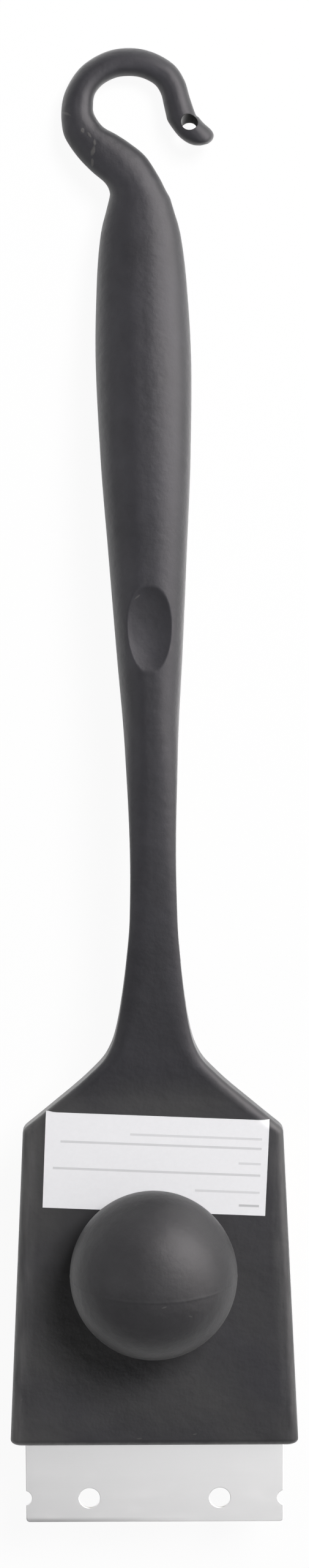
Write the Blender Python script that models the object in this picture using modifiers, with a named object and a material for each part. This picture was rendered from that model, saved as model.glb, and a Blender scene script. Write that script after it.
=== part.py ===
"""A grill brush with a side scraper: moulded handle, bristle block, steel blade and ball knob.

Metres. +Z is up, +Y runs from the scraper towards the hanging hook, +X is to the right seen from above.
The bristle tips and the far end of the hook stand on z = 0, and the bounding box is centred on x = y = 0.
"""

import math

import bmesh
import bpy
import numpy as np
from mathutils import Matrix, Vector

# Lengths of the three stretches that make up the whole, along Y
BLADE_REACH = 0.0275
HEAD_LENGTH = 0.1017
HANDLE_LENGTH = 0.3208

# Head, a thin moulded plate
HEAD_FRONT_WIDTH = 0.0890
HEAD_REAR_WIDTH = 0.0789
HEAD_THICKNESS = 0.0075
HEAD_EDGE_RADIUS = 0.0026
HEAD_UNDER_RADIUS = 0.0014
HEAD_CORNER_RADIUS = 0.0020
SHOULDER_BLEND = 0.0014

# Handle
SHOULDER_LENGTH = 0.0818
NECK_WIDTH = 0.0137
NECK_DEPTH = 0.0152
GRIP_START = 0.1480
GRIP_WIDTH = 0.0284
GRIP_DEPTH = 0.0246
GRIP_RISE = 0.0022
GRIP_RISE_LEAD = 0.0090
GRIP_RISE_LENGTH = 0.0550
ARCH_START = 0.0105
ARCH_SOFTENING = 0.0030
ARCH_LENGTH = 0.2180
NECK_PITCH = 0.14
FOOT_FLAT = 0.0016
HANDLE_LEAN = 0.00275
THUMB_START = 0.0698
THUMB_LENGTH = 0.0256
THUMB_WIDTH = 0.0127
THUMB_OFFSET = 0.0004
THUMB_DEPTH = 0.0009
THUMB_BOWL = 0.0120

# Hanging hook
HOOK_OFFSET = 0.0034
HOOK_INNER_RADIUS = 0.01112
HOOK_BAND = 0.00834
HOOK_DEPTH = 0.0106
HOOK_ROOT_LENGTH = 0.0226
HOOK_ROOT_WIDTH = 0.0170
TIP_HOLE_RADIUS = 0.0025

# Clearance left between pieces that touch, and how far a cut runs past the face it opens
GAP = 0.0003
OVERRUN = 0.0020

# Scraper blade
BLADE_WIDTH = 0.0802
BLADE_LENGTH = 0.0560
BLADE_THICKNESS = 0.0010
BLADE_CORNER = 0.0012
BLADE_HOLE_RADIUS = 0.0032
BLADE_HOLE_X = 0.0203
BLADE_HOLE_INSET = 0.0079
NOTCH_RADIUS = 0.0024
NOTCH_REACH = 0.0018

# Bristle block
BLOCK_FRONT_WIDTH = 0.0820
BLOCK_REAR_WIDTH = 0.0760
BLOCK_THICKNESS = 0.0132
BLOCK_LIP = 0.0024
BLOCK_REAR_INSET = 0.0082
BLOCK_CORNER = 0.0020

# Bristle rows
BRISTLE_LENGTH = 0.0250
ROW_PITCH = 0.0095
STRIP_WIDTH = 0.0030
STRIP_DEPTH = 0.0020
TUFT_PITCH = 0.0070
TIP_SPREAD = 0.0015
STRAND_RADIUS = 0.00042
STRAND_GAP = 0.0001

# Block screws
SCREW_SHANK = 0.0017
SCREW_POINT = 0.0020
SCREW_HEAD = 0.0033
SCREW_HEAD_DEPTH = 0.0022
SCREW_HEAD_ROUND = 0.0008
SCREW_RECESS = 0.0011
SCREW_GRIP = 0.0050
BOSS_RADIUS = 0.0050
REAR_SCREW_X = 0.0260
REAR_SCREW_ROWS = 6

# Ball knob
KNOB_START = 0.0384
KNOB_RADIUS = 0.0250
KNOB_BASE_RADIUS = 0.0095
KNOB_BOSS_RADIUS = 0.0090
KNOB_HOLE_SPARE = 0.0040
INSERT_WALL = 0.0016
INSERT_GROOVE = 0.0006
INSERT_LENGTH = 0.0130
STUD_RADIUS = 0.0029
STUD_CHAMFER = 0.0010
STUD_HEAD_RADIUS = 0.0052
STUD_HEAD_DEPTH = 0.0036
STUD_HEAD_ROUND = 0.0012
STUD_RECESS = 0.0018
WASHER_RIM = 0.0012
WASHER_THICKNESS = 0.0012
WELL_CLEARANCE = 0.0010

# Moulding pockets under the head
POCKET_ROOF = 0.0035
POCKET_WALL = 0.0045
POCKET_RIB = 0.0030

# Paper label
LABEL_LENGTH = 0.0677
LABEL_HEIGHT = 0.0300
LABEL_X = 0.0008
LABEL_CLEARANCE = 0.0027
LABEL_TURN = math.radians(-2.5)
LABEL_THICKNESS = 0.00012
LABEL_GAP = 0.00004

# Facets
CORNER_STEPS = 4
ROUND_STEPS = 32
SMALL_STEPS = 14
TUFT_STRANDS = 4

# Places that follow from the sizes, along Y
BLADE_TIP_Y = -(BLADE_REACH + HEAD_LENGTH + HANDLE_LENGTH) / 2
BLADE_REAR_Y = BLADE_TIP_Y + BLADE_LENGTH
HEAD_FRONT_Y = BLADE_TIP_Y + BLADE_REACH
HEAD_REAR_Y = HEAD_FRONT_Y + HEAD_LENGTH
BLOCK_FRONT_Y = HEAD_FRONT_Y - BLOCK_LIP
BLOCK_REAR_Y = HEAD_REAR_Y - BLOCK_REAR_INSET
FRONT_SCREW_Y = BLADE_REAR_Y - BLADE_HOLE_INSET
REAR_SCREW_Y = FRONT_SCREW_Y + REAR_SCREW_ROWS * ROW_PITCH
KNOB_Y = HEAD_REAR_Y - KNOB_START
LABEL_Y = KNOB_Y + KNOB_BASE_RADIUS + LABEL_CLEARANCE + LABEL_HEIGHT / 2
NECK_Y = HEAD_REAR_Y + SHOULDER_LENGTH
ARCH_START_Y = HEAD_REAR_Y + ARCH_START
THUMB_Y = NECK_Y + THUMB_START
GRIP_Y = NECK_Y + GRIP_START
HOOK_RADIUS = HOOK_INNER_RADIUS + HOOK_BAND
HOOK_CENTRE_Y = HEAD_REAR_Y + HANDLE_LENGTH - HOOK_RADIUS
HOOK_ROOT_Y = HOOK_CENTRE_Y - HOOK_ROOT_LENGTH
HOOK_END_Y = HOOK_CENTRE_Y + HOOK_RADIUS

# Heights that follow from the sizes
BLOCK_UNDER_Z = BRISTLE_LENGTH
BLOCK_TOP_Z = BLOCK_UNDER_Z + BLOCK_THICKNESS
HEAD_UNDER_Z = BLOCK_TOP_Z + GAP
HEAD_TOP_Z = HEAD_UNDER_Z + HEAD_THICKNESS
BLADE_TOP_Z = HEAD_UNDER_Z - GAP
BLADE_UNDER_Z = BLADE_TOP_Z - BLADE_THICKNESS
BLOCK_BED_Z = BLADE_UNDER_Z - GAP
ARCH_DROP = HEAD_TOP_Z - HOOK_DEPTH + FOOT_FLAT
ARCH_REST = HOOK_END_Y - ARCH_START_Y - ARCH_LENGTH / 2
TAIL_PITCH = (ARCH_DROP + NECK_PITCH * ARCH_LENGTH / 2) / ARCH_REST

# Sizes that follow from the piece they fit
PEG_RADIUS = BLADE_HOLE_RADIUS - GAP
SCREW_SINK = SCREW_HEAD_DEPTH + STRIP_DEPTH + 3 * GAP
TUFT_SPREAD = (2 * STRAND_RADIUS + STRAND_GAP) / math.sqrt(2)
INSERT_RADIUS = STUD_RADIUS + INSERT_WALL
WASHER_RADIUS = STUD_HEAD_RADIUS + WASHER_RIM

# Shoulders: share of their length, and share of the way from the neck's half width to the head's
SHOULDER_SHAPE = (
    (-0.0858, 1.235),
    (0.0760, 0.735),
    (0.1960, 0.390),
    (0.2690, 0.227),
    (0.3420, 0.150),
    (0.4890, 0.082),
    (0.6360, 0.039),
    (0.7820, 0.010),
)
# Grip: share of its length, and share of the way from the neck's half width to the grip's
GRIP_SHAPE = ((0.0, 0.0), (0.223, 0.136), (0.421, 0.401), (0.617, 0.652), (0.812, 0.892), (1.0, 1.0))
# Tail: share of the way from the grip's widest place to the hook, and from the grip's width to the hook's
TAIL_SHAPE = ((0.459, 0.150), (0.753, 0.424), (0.900, 0.767), (1.0, 1.0))

# Lean: share of the way from the head to the hook's root, and share of the offset to the left there
LEAN_SHAPE = (
    (0.0, 0.0),
    (0.144, -0.087),
    (0.236, -0.160),
    (0.330, -0.110),
    (0.488, 0.098),
    (0.703, 0.455),
    (1.0, 1.0),
)

# Depth of the moulding: the same shares along, and shares from one stretch's depth to the next one's
SHOULDER_SINK = ((-0.027, 0.0), (0.156, 0.182), (0.438, 0.714), (1.0, 1.0))
GRIP_SWELL = ((0.473, 0.477), (1.0, 1.0))
TAIL_SWELL = ((0.531, 0.246), (0.898, 0.703), (1.143, 0.943), (1.388, 1.0))

# Radius of the upper edge, before the half width limits it, by share of the shoulders' length
EDGE_GROWTH = ((0.218, 0.0034), (0.413, 0.0050), (0.523, 0.0062), (0.700, 0.0100), (0.850, 0.0200))

# Where rings cross the shoulders and the tail, by share of their lengths
SHOULDER_RINGS = (
    -0.418, -0.064, -0.027, -0.012, 0.0, 0.012, 0.032, 0.077, 0.126,
    0.181, 0.230, 0.273, 0.315, 0.377, 0.462, 0.572, 0.731, 0.951,
)
GRIP_RINGS = 8
TAIL_RINGS = (0.245, 0.449, 0.612, 0.755, 0.869, 0.951)
FRONT_RINGS = 6

# How deep the upper edge's rounding sinks, before the depth limits it, by the same share
EDGE_SINK = (
    (0.20, 0.0026),
    (0.45, 0.0020),
    (0.60, 0.0019),
    (0.90, 0.0024),
    (1.25, 0.0042),
    (1.55, 0.0090),
    (1.75, 0.0200),
)

# Hook root, ring and tip, in hook radii from the hook's centre. Root and tip are pairs of edge
# points, the ring's are an angle with its outer and inner radius. The last value of a root pair
# is how much of the grip's depth is left there, and of a tip pair how far its top has sunk.
HOOK_ROOT = (
    ((-0.283, -1.169), (0.568, -1.136), 0.100),
    ((-0.357, -1.030), (0.462, -0.930), 0.066),
    ((-0.552, -0.865), (0.265, -0.634), 0.030),
    ((-0.748, -0.665), (0.028, -0.439), 0.014),
    ((-0.907, -0.449), (-0.177, -0.305), 0.004),
    ((-0.990, -0.270), (-0.385, -0.185), 0.0),
)
HOOK_RING = (
    (180, 1.019, 0.515),
    (165, 1.020, 0.550),
    (150, 1.012, 0.586),
    (135, 1.012, 0.593),
    (120, 1.002, 0.586),
    (105, 1.001, 0.582),
    (90, 1.000, 0.577),
    (75, 1.006, 0.586),
    (60, 1.014, 0.597),
    (45, 1.027, 0.608),
    (30, 1.005, 0.590),
    (15, 0.979, 0.566),
    (0, 1.033, 0.580),
)
HOOK_TIP = (
    ((1.079, -0.050), (0.604, -0.095), 0.0),
    ((1.156, -0.138), (0.671, -0.202), 0.0),
    ((1.268, -0.239), (0.773, -0.331), 0.01),
    ((1.311, -0.321), (0.885, -0.420), 0.03),
    ((1.285, -0.400), (1.000, -0.468), 0.07),
    ((1.222, -0.447), (1.100, -0.475), 0.15),
)
TIP_HOLE = (0.938, -0.187)

# Share of a section's half width and of its depth that an edge radius may take
SIDE_LIMIT = 0.92
EDGE_LIMIT = 0.46


def curve_through(knots):
    """A smooth curve through the knots that never overshoots them."""
    x = np.array([k[0] for k in knots])
    y = np.array([k[1] for k in knots])
    step = np.diff(x)
    rise = np.diff(y) / step
    slope = np.zeros(len(x))
    slope[0] = rise[0]
    slope[-1] = rise[-1]
    for i in range(1, len(x) - 1):
        if rise[i - 1] * rise[i] > 0:
            near = 2 * step[i] + step[i - 1]
            far = step[i] + 2 * step[i - 1]
            slope[i] = (near + far) / (near / rise[i - 1] + far / rise[i])

    def value(at):
        if at <= x[0]:
            return y[0]
        if at >= x[-1]:
            return y[-1]
        i = int(np.searchsorted(x, at)) - 1
        t = (at - x[i]) / step[i]
        return float(
            y[i] * (1 + 2 * t) * (1 - t) ** 2
            + step[i] * slope[i] * t * (1 - t) ** 2
            + y[i + 1] * t * t * (3 - 2 * t)
            - step[i] * slope[i + 1] * t * t * (1 - t)
        )

    return value


def stretch(shape, start, length, low, high):
    """Knots of one stretch of the handle, from shares of its length and of its change in size."""
    return [(start + along * length, low + share * (high - low)) for along, share in shape]


TAIL_LENGTH = HOOK_ROOT_Y - GRIP_Y
outline_at = curve_through(
    stretch(SHOULDER_SHAPE, HEAD_REAR_Y, SHOULDER_LENGTH, NECK_WIDTH / 2, HEAD_REAR_WIDTH / 2)
    + stretch(GRIP_SHAPE, NECK_Y, GRIP_START, NECK_WIDTH / 2, GRIP_WIDTH / 2)
    + stretch(TAIL_SHAPE, GRIP_Y, TAIL_LENGTH, GRIP_WIDTH / 2, HOOK_ROOT_WIDTH / 2)
)
depth_at = curve_through(
    stretch(SHOULDER_SINK, HEAD_REAR_Y, SHOULDER_LENGTH, HEAD_THICKNESS, NECK_DEPTH)
    + stretch(GRIP_SWELL, NECK_Y, GRIP_START, NECK_DEPTH, GRIP_DEPTH)
    + stretch(TAIL_SWELL, GRIP_Y, TAIL_LENGTH, GRIP_DEPTH, HOOK_DEPTH)
)
edge_at = curve_through(
    [(HEAD_REAR_Y, HEAD_EDGE_RADIUS)]
    + [(HEAD_REAR_Y + along * SHOULDER_LENGTH, radius) for along, radius in EDGE_GROWTH]
)
sink_at = curve_through(
    [(HEAD_REAR_Y, HEAD_EDGE_RADIUS)]
    + [(HEAD_REAR_Y + along * SHOULDER_LENGTH, radius) for along, radius in EDGE_SINK]
)


lean_share = curve_through(LEAN_SHAPE)


def head_half_width(y):
    share = (y - HEAD_REAR_Y) / (HEAD_FRONT_Y - HEAD_REAR_Y)
    return (HEAD_REAR_WIDTH + share * (HEAD_FRONT_WIDTH - HEAD_REAR_WIDTH)) / 2


def half_width(y):
    """Half width of head, shoulders and grip, with the shoulder corner rounded."""
    head = head_half_width(y)
    if y < HEAD_REAR_Y - 2 * HEAD_CORNER_RADIUS:
        return head
    shoulder = outline_at(y)
    mix = max(0.0, min(1.0, 0.5 + (shoulder - head) / (2 * SHOULDER_BLEND)))
    return shoulder * (1 - mix) + head * mix - SHOULDER_BLEND * mix * (1 - mix)


def lean_at(y):
    """Sideways offset of the handle, which leans a little to the left past the neck."""
    return -HANDLE_LEAN * lean_share((y - HEAD_REAR_Y) / (HOOK_ROOT_Y - HEAD_REAR_Y))


def arch_reach(y):
    """Distance past the place where the neck starts to climb, eased in."""
    reach = y - ARCH_START_Y
    flat = ARCH_START_Y - HEAD_REAR_Y
    start = (math.hypot(flat, ARCH_SOFTENING) - flat) / 2
    return max(0.0, (reach + math.hypot(reach, ARCH_SOFTENING)) / 2 - start)


def top_at(y):
    """Height of the upper surface: level over the head, up along the neck, then down to the hook."""
    reach = arch_reach(y)
    bent = min(reach, ARCH_LENGTH)
    bend = (NECK_PITCH + TAIL_PITCH) * bent * bent / (2 * ARCH_LENGTH)
    along = (y - GRIP_Y + GRIP_RISE_LEAD) / GRIP_RISE_LENGTH
    rise = GRIP_RISE * math.exp(-along * along)
    return HEAD_TOP_Z + NECK_PITCH * bent - bend - TAIL_PITCH * (reach - bent) + rise


def arch_tilt(y):
    """Turn about X that lays a shape along the arch."""
    share = min(arch_reach(y) / ARCH_LENGTH, 1.0)
    return math.atan(NECK_PITCH - (NECK_PITCH + TAIL_PITCH) * share)


def hook_point(place):
    """A point given in hook radii from the hook's centre."""
    centre = Vector((lean_at(HOOK_ROOT_Y) - HOOK_OFFSET, HOOK_CENTRE_Y))
    return centre + Vector(place) * HOOK_RADIUS


def rounded_section(half, depth, top_r, top_rz, low_r, low_rz):
    """Outline of one cut through the moulding as (across, below the top) pairs."""
    corners = (
        (1, top_r, top_rz, 0.0),
        (-1, top_r, top_rz, 90.0),
        (-1, low_r, low_rz, 180.0),
        (1, low_r, low_rz, 270.0),
    )
    points = []
    for side, radius, radius_z, start in corners:
        for k in range(CORNER_STEPS + 1):
            angle = math.radians(start + 90.0 * k / CORNER_STEPS)
            across = side * (half - radius) + radius * math.cos(angle)
            centre = -radius_z if start < 180 else -(depth - radius_z)
            points.append((across, centre + radius_z * math.sin(angle)))
    return points


def station(left, right, depth, drop=0.0, flare=1.0):
    """One ring of the moulding between two outline points."""
    left = Vector(left)
    right = Vector(right)
    middle = (left + right) / 2
    half = (right - left).length / 2
    across = (right - left).normalized()
    body = depth - drop
    limit_x = SIDE_LIMIT * half
    limit_z = EDGE_LIMIT * body
    radius = edge_at(middle.y)
    top_r = min(radius * flare, limit_x)
    top_rz = min(sink_at(middle.y), limit_z)
    under = HEAD_UNDER_RADIUS + max(0.0, radius - HEAD_EDGE_RADIUS)
    low_r = min(under * flare, limit_x)
    low_rz = min(under, limit_z)
    ring = []
    for offset, height in rounded_section(half, body, top_r, top_rz, low_r, low_rz):
        point = middle + across * offset
        z = top_at(point.y) - drop + height
        ring.append((point.x, point.y, max(z, 0.0)))
    return ring


def straight_station(y, shrink=0.0, drop=0.0):
    """One ring square across the head or the handle."""
    half = half_width(y) - shrink
    span = GAP
    spread = (half_width(y + span) - half_width(y - span)) / (2 * span)
    flare = math.hypot(1, spread) if y > HEAD_REAR_Y - 2 * HEAD_CORNER_RADIUS else 1.0
    x = lean_at(y)
    return station((x - half, y), (x + half, y), depth_at(y), drop, flare)


def quarter_drop(share):
    """How far a quarter circle of radius 1 lies below its top, that share of the way from its side."""
    away = max(0.0, 1 - share)
    return 1 - math.sqrt(1 - away * away)


def front_stations():
    """The front edge over the blade, rounded, with its corners rounded too."""
    rings = []
    for k in range(FRONT_RINGS + 1):
        share = 1 - math.cos(math.pi / 2 * k / FRONT_RINGS)
        back = share * HEAD_EDGE_RADIUS
        shrink = HEAD_CORNER_RADIUS * quarter_drop(back / HEAD_CORNER_RADIUS)
        rings.append(straight_station(HEAD_FRONT_Y + back, shrink, HEAD_EDGE_RADIUS * quarter_drop(share)))
    return rings


def hook_stations():
    """The hook from the end of the grip, round the ring and out to the flared tip."""
    rings = []
    for left, right, rest in HOOK_ROOT:
        rings.append(station(hook_point(left), hook_point(right), HOOK_DEPTH + rest * GRIP_DEPTH))
    for degrees, outer, inner in HOOK_RING:
        ray = Vector((math.cos(math.radians(degrees)), math.sin(math.radians(degrees))))
        rings.append(station(hook_point(ray * outer), hook_point(ray * inner), HOOK_DEPTH))
    for outer, inner, sunk in HOOK_TIP:
        rings.append(station(hook_point(outer), hook_point(inner), HOOK_DEPTH, sunk * HOOK_RADIUS))
    return rings


def handle_stations():
    """All rings of the one-piece moulding, from the head's front edge to the hook's tip."""
    rings = front_stations()
    rings += [straight_station(HEAD_REAR_Y + share * SHOULDER_LENGTH) for share in SHOULDER_RINGS]
    rings += [straight_station(NECK_Y + k / GRIP_RINGS * GRIP_START) for k in range(1, GRIP_RINGS + 1)]
    rings += [straight_station(GRIP_Y + share * TAIL_LENGTH) for share in TAIL_RINGS]
    return rings + hook_stations()


def new_object(name, mesh, group):
    made = bpy.data.objects.new(name, mesh)
    group.objects.link(made)
    return made


def object_from(build, name, group):
    """An object whose mesh is filled in by the given function."""
    bm = bmesh.new()
    build(bm)
    bmesh.ops.recalc_face_normals(bm, faces=bm.faces)
    mesh = bpy.data.meshes.new(name)
    bm.to_mesh(mesh)
    bm.free()
    return new_object(name, mesh, group)


def loft(bm, rings):
    """One closed skin through rings of equal length, with flat ends."""
    rows = [[bm.verts.new(p) for p in ring] for ring in rings]
    count = len(rows[0])
    for near, far in zip(rows, rows[1:]):
        for k in range(count):
            other = (k + 1) % count
            bm.faces.new((near[k], near[other], far[other], far[k]))
    bm.faces.new(rows[0])
    bm.faces.new(rows[-1])
    return rows


def add_prism(bm, outline, low, high):
    """An upright prism over a convex or concave outline."""
    lower = [bm.verts.new((x, y, low)) for x, y in outline]
    face = bm.faces.new(lower)
    raised = bmesh.ops.extrude_face_region(bm, geom=[face])["geom"]
    moved = [v for v in raised if isinstance(v, bmesh.types.BMVert)]
    bmesh.ops.translate(bm, verts=moved, vec=(0, 0, high - low))


def add_disc(bm, x, y, low, high, radius, steps=SMALL_STEPS):
    place = Matrix.Translation((x, y, (low + high) / 2))
    bmesh.ops.create_cone(
        bm,
        cap_ends=True,
        segments=steps,
        radius1=radius,
        radius2=radius,
        depth=high - low,
        matrix=place,
    )


def turned(name, profile, place, steps, group):
    """A turned piece: profile points as (radius, height) from the top down its outer side."""
    mesh = bpy.data.meshes.new(name)
    points = [(r, 0.0, z) for r, z in profile]
    edges = [(i, i + 1) for i in range(len(points) - 1)]
    hollow = profile[0][0] > 0
    if hollow:
        edges.append((len(points) - 1, 0))
    mesh.from_pydata(points, edges, [])
    made = new_object(name, mesh, group)
    made.location = place
    screw = made.modifiers.new("Turn", "SCREW")
    screw.axis = "Z"
    screw.angle = math.tau
    screw.steps = steps
    screw.render_steps = steps
    screw.use_merge_vertices = True
    screw.merge_threshold = 1e-5
    screw.use_smooth_shade = False
    screw.use_normal_calculate = True
    screw.use_normal_flip = hollow
    return made


def cut(target, cutter):
    cutter.hide_render = True
    cutter.display_type = "WIRE"
    boolean = target.modifiers.new("Cut " + cutter.name, "BOOLEAN")
    boolean.operation = "DIFFERENCE"
    boolean.object = cutter


def fuse(target, other):
    other.hide_render = True
    other.display_type = "WIRE"
    boolean = target.modifiers.new("Fuse " + other.name, "BOOLEAN")
    boolean.operation = "UNION"
    boolean.object = other


def screw_places():
    """Centres of the four screws that hold the bristle block."""
    for y, x in ((FRONT_SCREW_Y, BLADE_HOLE_X), (REAR_SCREW_Y, REAR_SCREW_X)):
        yield -x, y
        yield x, y


def pocket_outline(side):
    """Outline of one moulding pocket, left or right of the middle rib."""
    front = FRONT_SCREW_Y - BOSS_RADIUS - POCKET_RIB
    rear = BLOCK_REAR_Y - POCKET_WALL
    rib = POCKET_RIB / 2
    corners = [
        (side * rib, front),
        (side * (block_half_width(front) - POCKET_WALL), front),
        (side * (block_half_width(rear) - POCKET_WALL), rear),
        (side * rib, rear),
    ]
    return corners if side > 0 else corners[::-1]


def make_handle_body(parts, cutters):
    """Head, neck, grip and hook in one moulding, hollowed under the head."""
    rings = handle_stations()
    body = object_from(lambda bm: loft(bm, rings), "handle_body", parts)

    def pockets(bm):
        for side in (-1, 1):
            add_prism(bm, pocket_outline(side), HEAD_UNDER_Z - OVERRUN, HEAD_TOP_Z - POCKET_ROOF)

    def bosses(bm):
        for x, y in screw_places():
            add_disc(bm, x, y, HEAD_UNDER_Z - 2 * OVERRUN, HEAD_TOP_Z, BOSS_RADIUS)
        add_disc(bm, 0, KNOB_Y, HEAD_UNDER_Z - 2 * OVERRUN, HEAD_TOP_Z, KNOB_BOSS_RADIUS, 20)

    pocket = object_from(pockets, "pocket_cutter", cutters)
    cut(pocket, object_from(bosses, "boss_guide", cutters))
    cut(body, pocket)

    def pegs(bm):
        for side in (-1, 1):
            x = side * BLADE_HOLE_X
            add_disc(bm, x, FRONT_SCREW_Y, BLADE_UNDER_Z, HEAD_UNDER_Z + OVERRUN / 2, PEG_RADIUS)

    fuse(body, object_from(pegs, "blade_pegs", cutters))

    def holes(bm):
        for x, y in screw_places():
            top = HEAD_UNDER_Z + SCREW_GRIP
            add_disc(bm, x, y, BLADE_UNDER_Z - OVERRUN, top, SCREW_SHANK + GAP)
        add_disc(bm, 0, KNOB_Y, HEAD_UNDER_Z - OVERRUN, HEAD_TOP_Z + OVERRUN, STUD_RADIUS + GAP)

    cut(body, object_from(holes, "screw_hole_cutter", cutters))

    def dent(bm):
        bmesh.ops.create_uvsphere(bm, u_segments=24, v_segments=14, radius=1.0)
        edge = 1 - min(1.0, THUMB_WIDTH / (2 * outline_at(THUMB_Y))) ** 2
        sag = EDGE_LIMIT * depth_at(THUMB_Y) * (1 - math.sqrt(edge))
        bowl = THUMB_BOWL + sag
        lift = bowl - sag - THUMB_DEPTH
        wide = (THUMB_WIDTH / 2) / math.sqrt(1 - ((lift + sag) / bowl) ** 2)
        long = (THUMB_LENGTH / 2) / math.sqrt(1 - (lift / bowl) ** 2)
        tilt = Matrix.Rotation(arch_tilt(THUMB_Y), 4, "X")
        place = Matrix.Translation((lean_at(THUMB_Y) + THUMB_OFFSET, THUMB_Y, top_at(THUMB_Y) + lift))
        size = Matrix.Diagonal((wide, long, bowl, 1.0))
        bmesh.ops.transform(bm, matrix=place @ tilt @ size, verts=bm.verts)

    cut(body, object_from(dent, "thumb_dent_cutter", cutters))

    def tip_hole(bm):
        x, y = hook_point(TIP_HOLE)
        tilt = Matrix.Rotation(arch_tilt(y), 4, "X")
        place = Matrix.Translation((x, y, top_at(y) - HOOK_DEPTH / 2))
        bmesh.ops.create_cone(
            bm,
            cap_ends=True,
            segments=16,
            radius1=TIP_HOLE_RADIUS,
            radius2=TIP_HOLE_RADIUS,
            depth=2 * HOOK_DEPTH,
            matrix=place @ tilt,
        )

    cut(body, object_from(tip_hole, "tip_hole_cutter", cutters))
    return body


def arc(x, y, radius, start, sweep, steps):
    """Points of an arc round (x, y), both ends included."""
    angles = [start + sweep * k / steps for k in range(steps + 1)]
    return [(x + radius * math.cos(a), y + radius * math.sin(a)) for a in angles]


def blade_hole_rows():
    return BLADE_TIP_Y + BLADE_HOLE_INSET, BLADE_REAR_Y - BLADE_HOLE_INSET


def blade_outline():
    """The blade's right side with its two notches, and the same turned half a turn for its left."""
    side = BLADE_WIDTH / 2
    inside = side - BLADE_CORNER
    away = NOTCH_RADIUS - NOTCH_REACH
    reach = math.acos(away / NOTCH_RADIUS)
    right = arc(inside, BLADE_TIP_Y + BLADE_CORNER, BLADE_CORNER, -math.pi / 2, math.pi / 2, 4)
    for y in blade_hole_rows():
        right += arc(side + away, y, NOTCH_RADIUS, math.pi + reach, -2 * reach, 8)
    right += arc(inside, BLADE_REAR_Y - BLADE_CORNER, BLADE_CORNER, 0, math.pi / 2, 4)
    ends = BLADE_TIP_Y + BLADE_REAR_Y
    return right + [(-x, ends - y) for x, y in right]


def make_blade(parts):
    curve = bpy.data.curves.new("scraper_blade", "CURVE")
    curve.dimensions = "2D"
    curve.fill_mode = "BOTH"
    curve.extrude = BLADE_THICKNESS / 2

    def ring(points):
        spline = curve.splines.new("POLY")
        spline.points.add(len(points) - 1)
        for target, (x, y) in zip(spline.points, points):
            target.co = (x, y, 0.0, 1.0)
        spline.use_cyclic_u = True

    ring(blade_outline())
    for y in blade_hole_rows():
        for x in (-BLADE_HOLE_X, BLADE_HOLE_X):
            ring(arc(x, y, BLADE_HOLE_RADIUS, 0, math.tau, 20)[:-1])
    flat = bpy.data.objects.new("blade_outline", curve)
    parts.objects.link(flat)
    mesh = bpy.data.meshes.new_from_object(flat)
    bpy.data.objects.remove(flat)
    bm = bmesh.new()
    bm.from_mesh(mesh)
    bmesh.ops.remove_doubles(bm, verts=bm.verts, dist=1e-6)
    bmesh.ops.recalc_face_normals(bm, faces=bm.faces)
    bm.to_mesh(mesh)
    bm.free()
    blade = new_object("scraper_blade", mesh, parts)
    blade.location = (0, 0, (BLADE_TOP_Z + BLADE_UNDER_Z) / 2)
    return blade


def block_half_width(y):
    share = (y - BLOCK_REAR_Y) / (HEAD_FRONT_Y - BLOCK_REAR_Y)
    return (BLOCK_REAR_WIDTH + share * (BLOCK_FRONT_WIDTH - BLOCK_REAR_WIDTH)) / 2


def row_places():
    """The y and the tuft centres of every bristle row, placed so that the screws fall between rows."""
    margin = BLOCK_CORNER + STRIP_WIDTH / 2
    before = int((FRONT_SCREW_Y - BLOCK_FRONT_Y - margin) / ROW_PITCH + 0.5)
    y = FRONT_SCREW_Y + (0.5 - before) * ROW_PITCH
    while y <= BLOCK_REAR_Y - margin:
        room = 2 * (block_half_width(y) - margin)
        gaps = int(room / TUFT_PITCH)
        yield y, [(k - gaps / 2) * TUFT_PITCH for k in range(gaps + 1)]
        y += ROW_PITCH


def strip_outline(y, tufts, extra=0.0):
    """Outline of the slice that carries one row, grown by extra."""
    x = tufts[-1] + STRIP_WIDTH / 2 + extra
    half = STRIP_WIDTH / 2 + extra
    return [(-x, y - half), (x, y - half), (x, y + half), (-x, y + half)]


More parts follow.
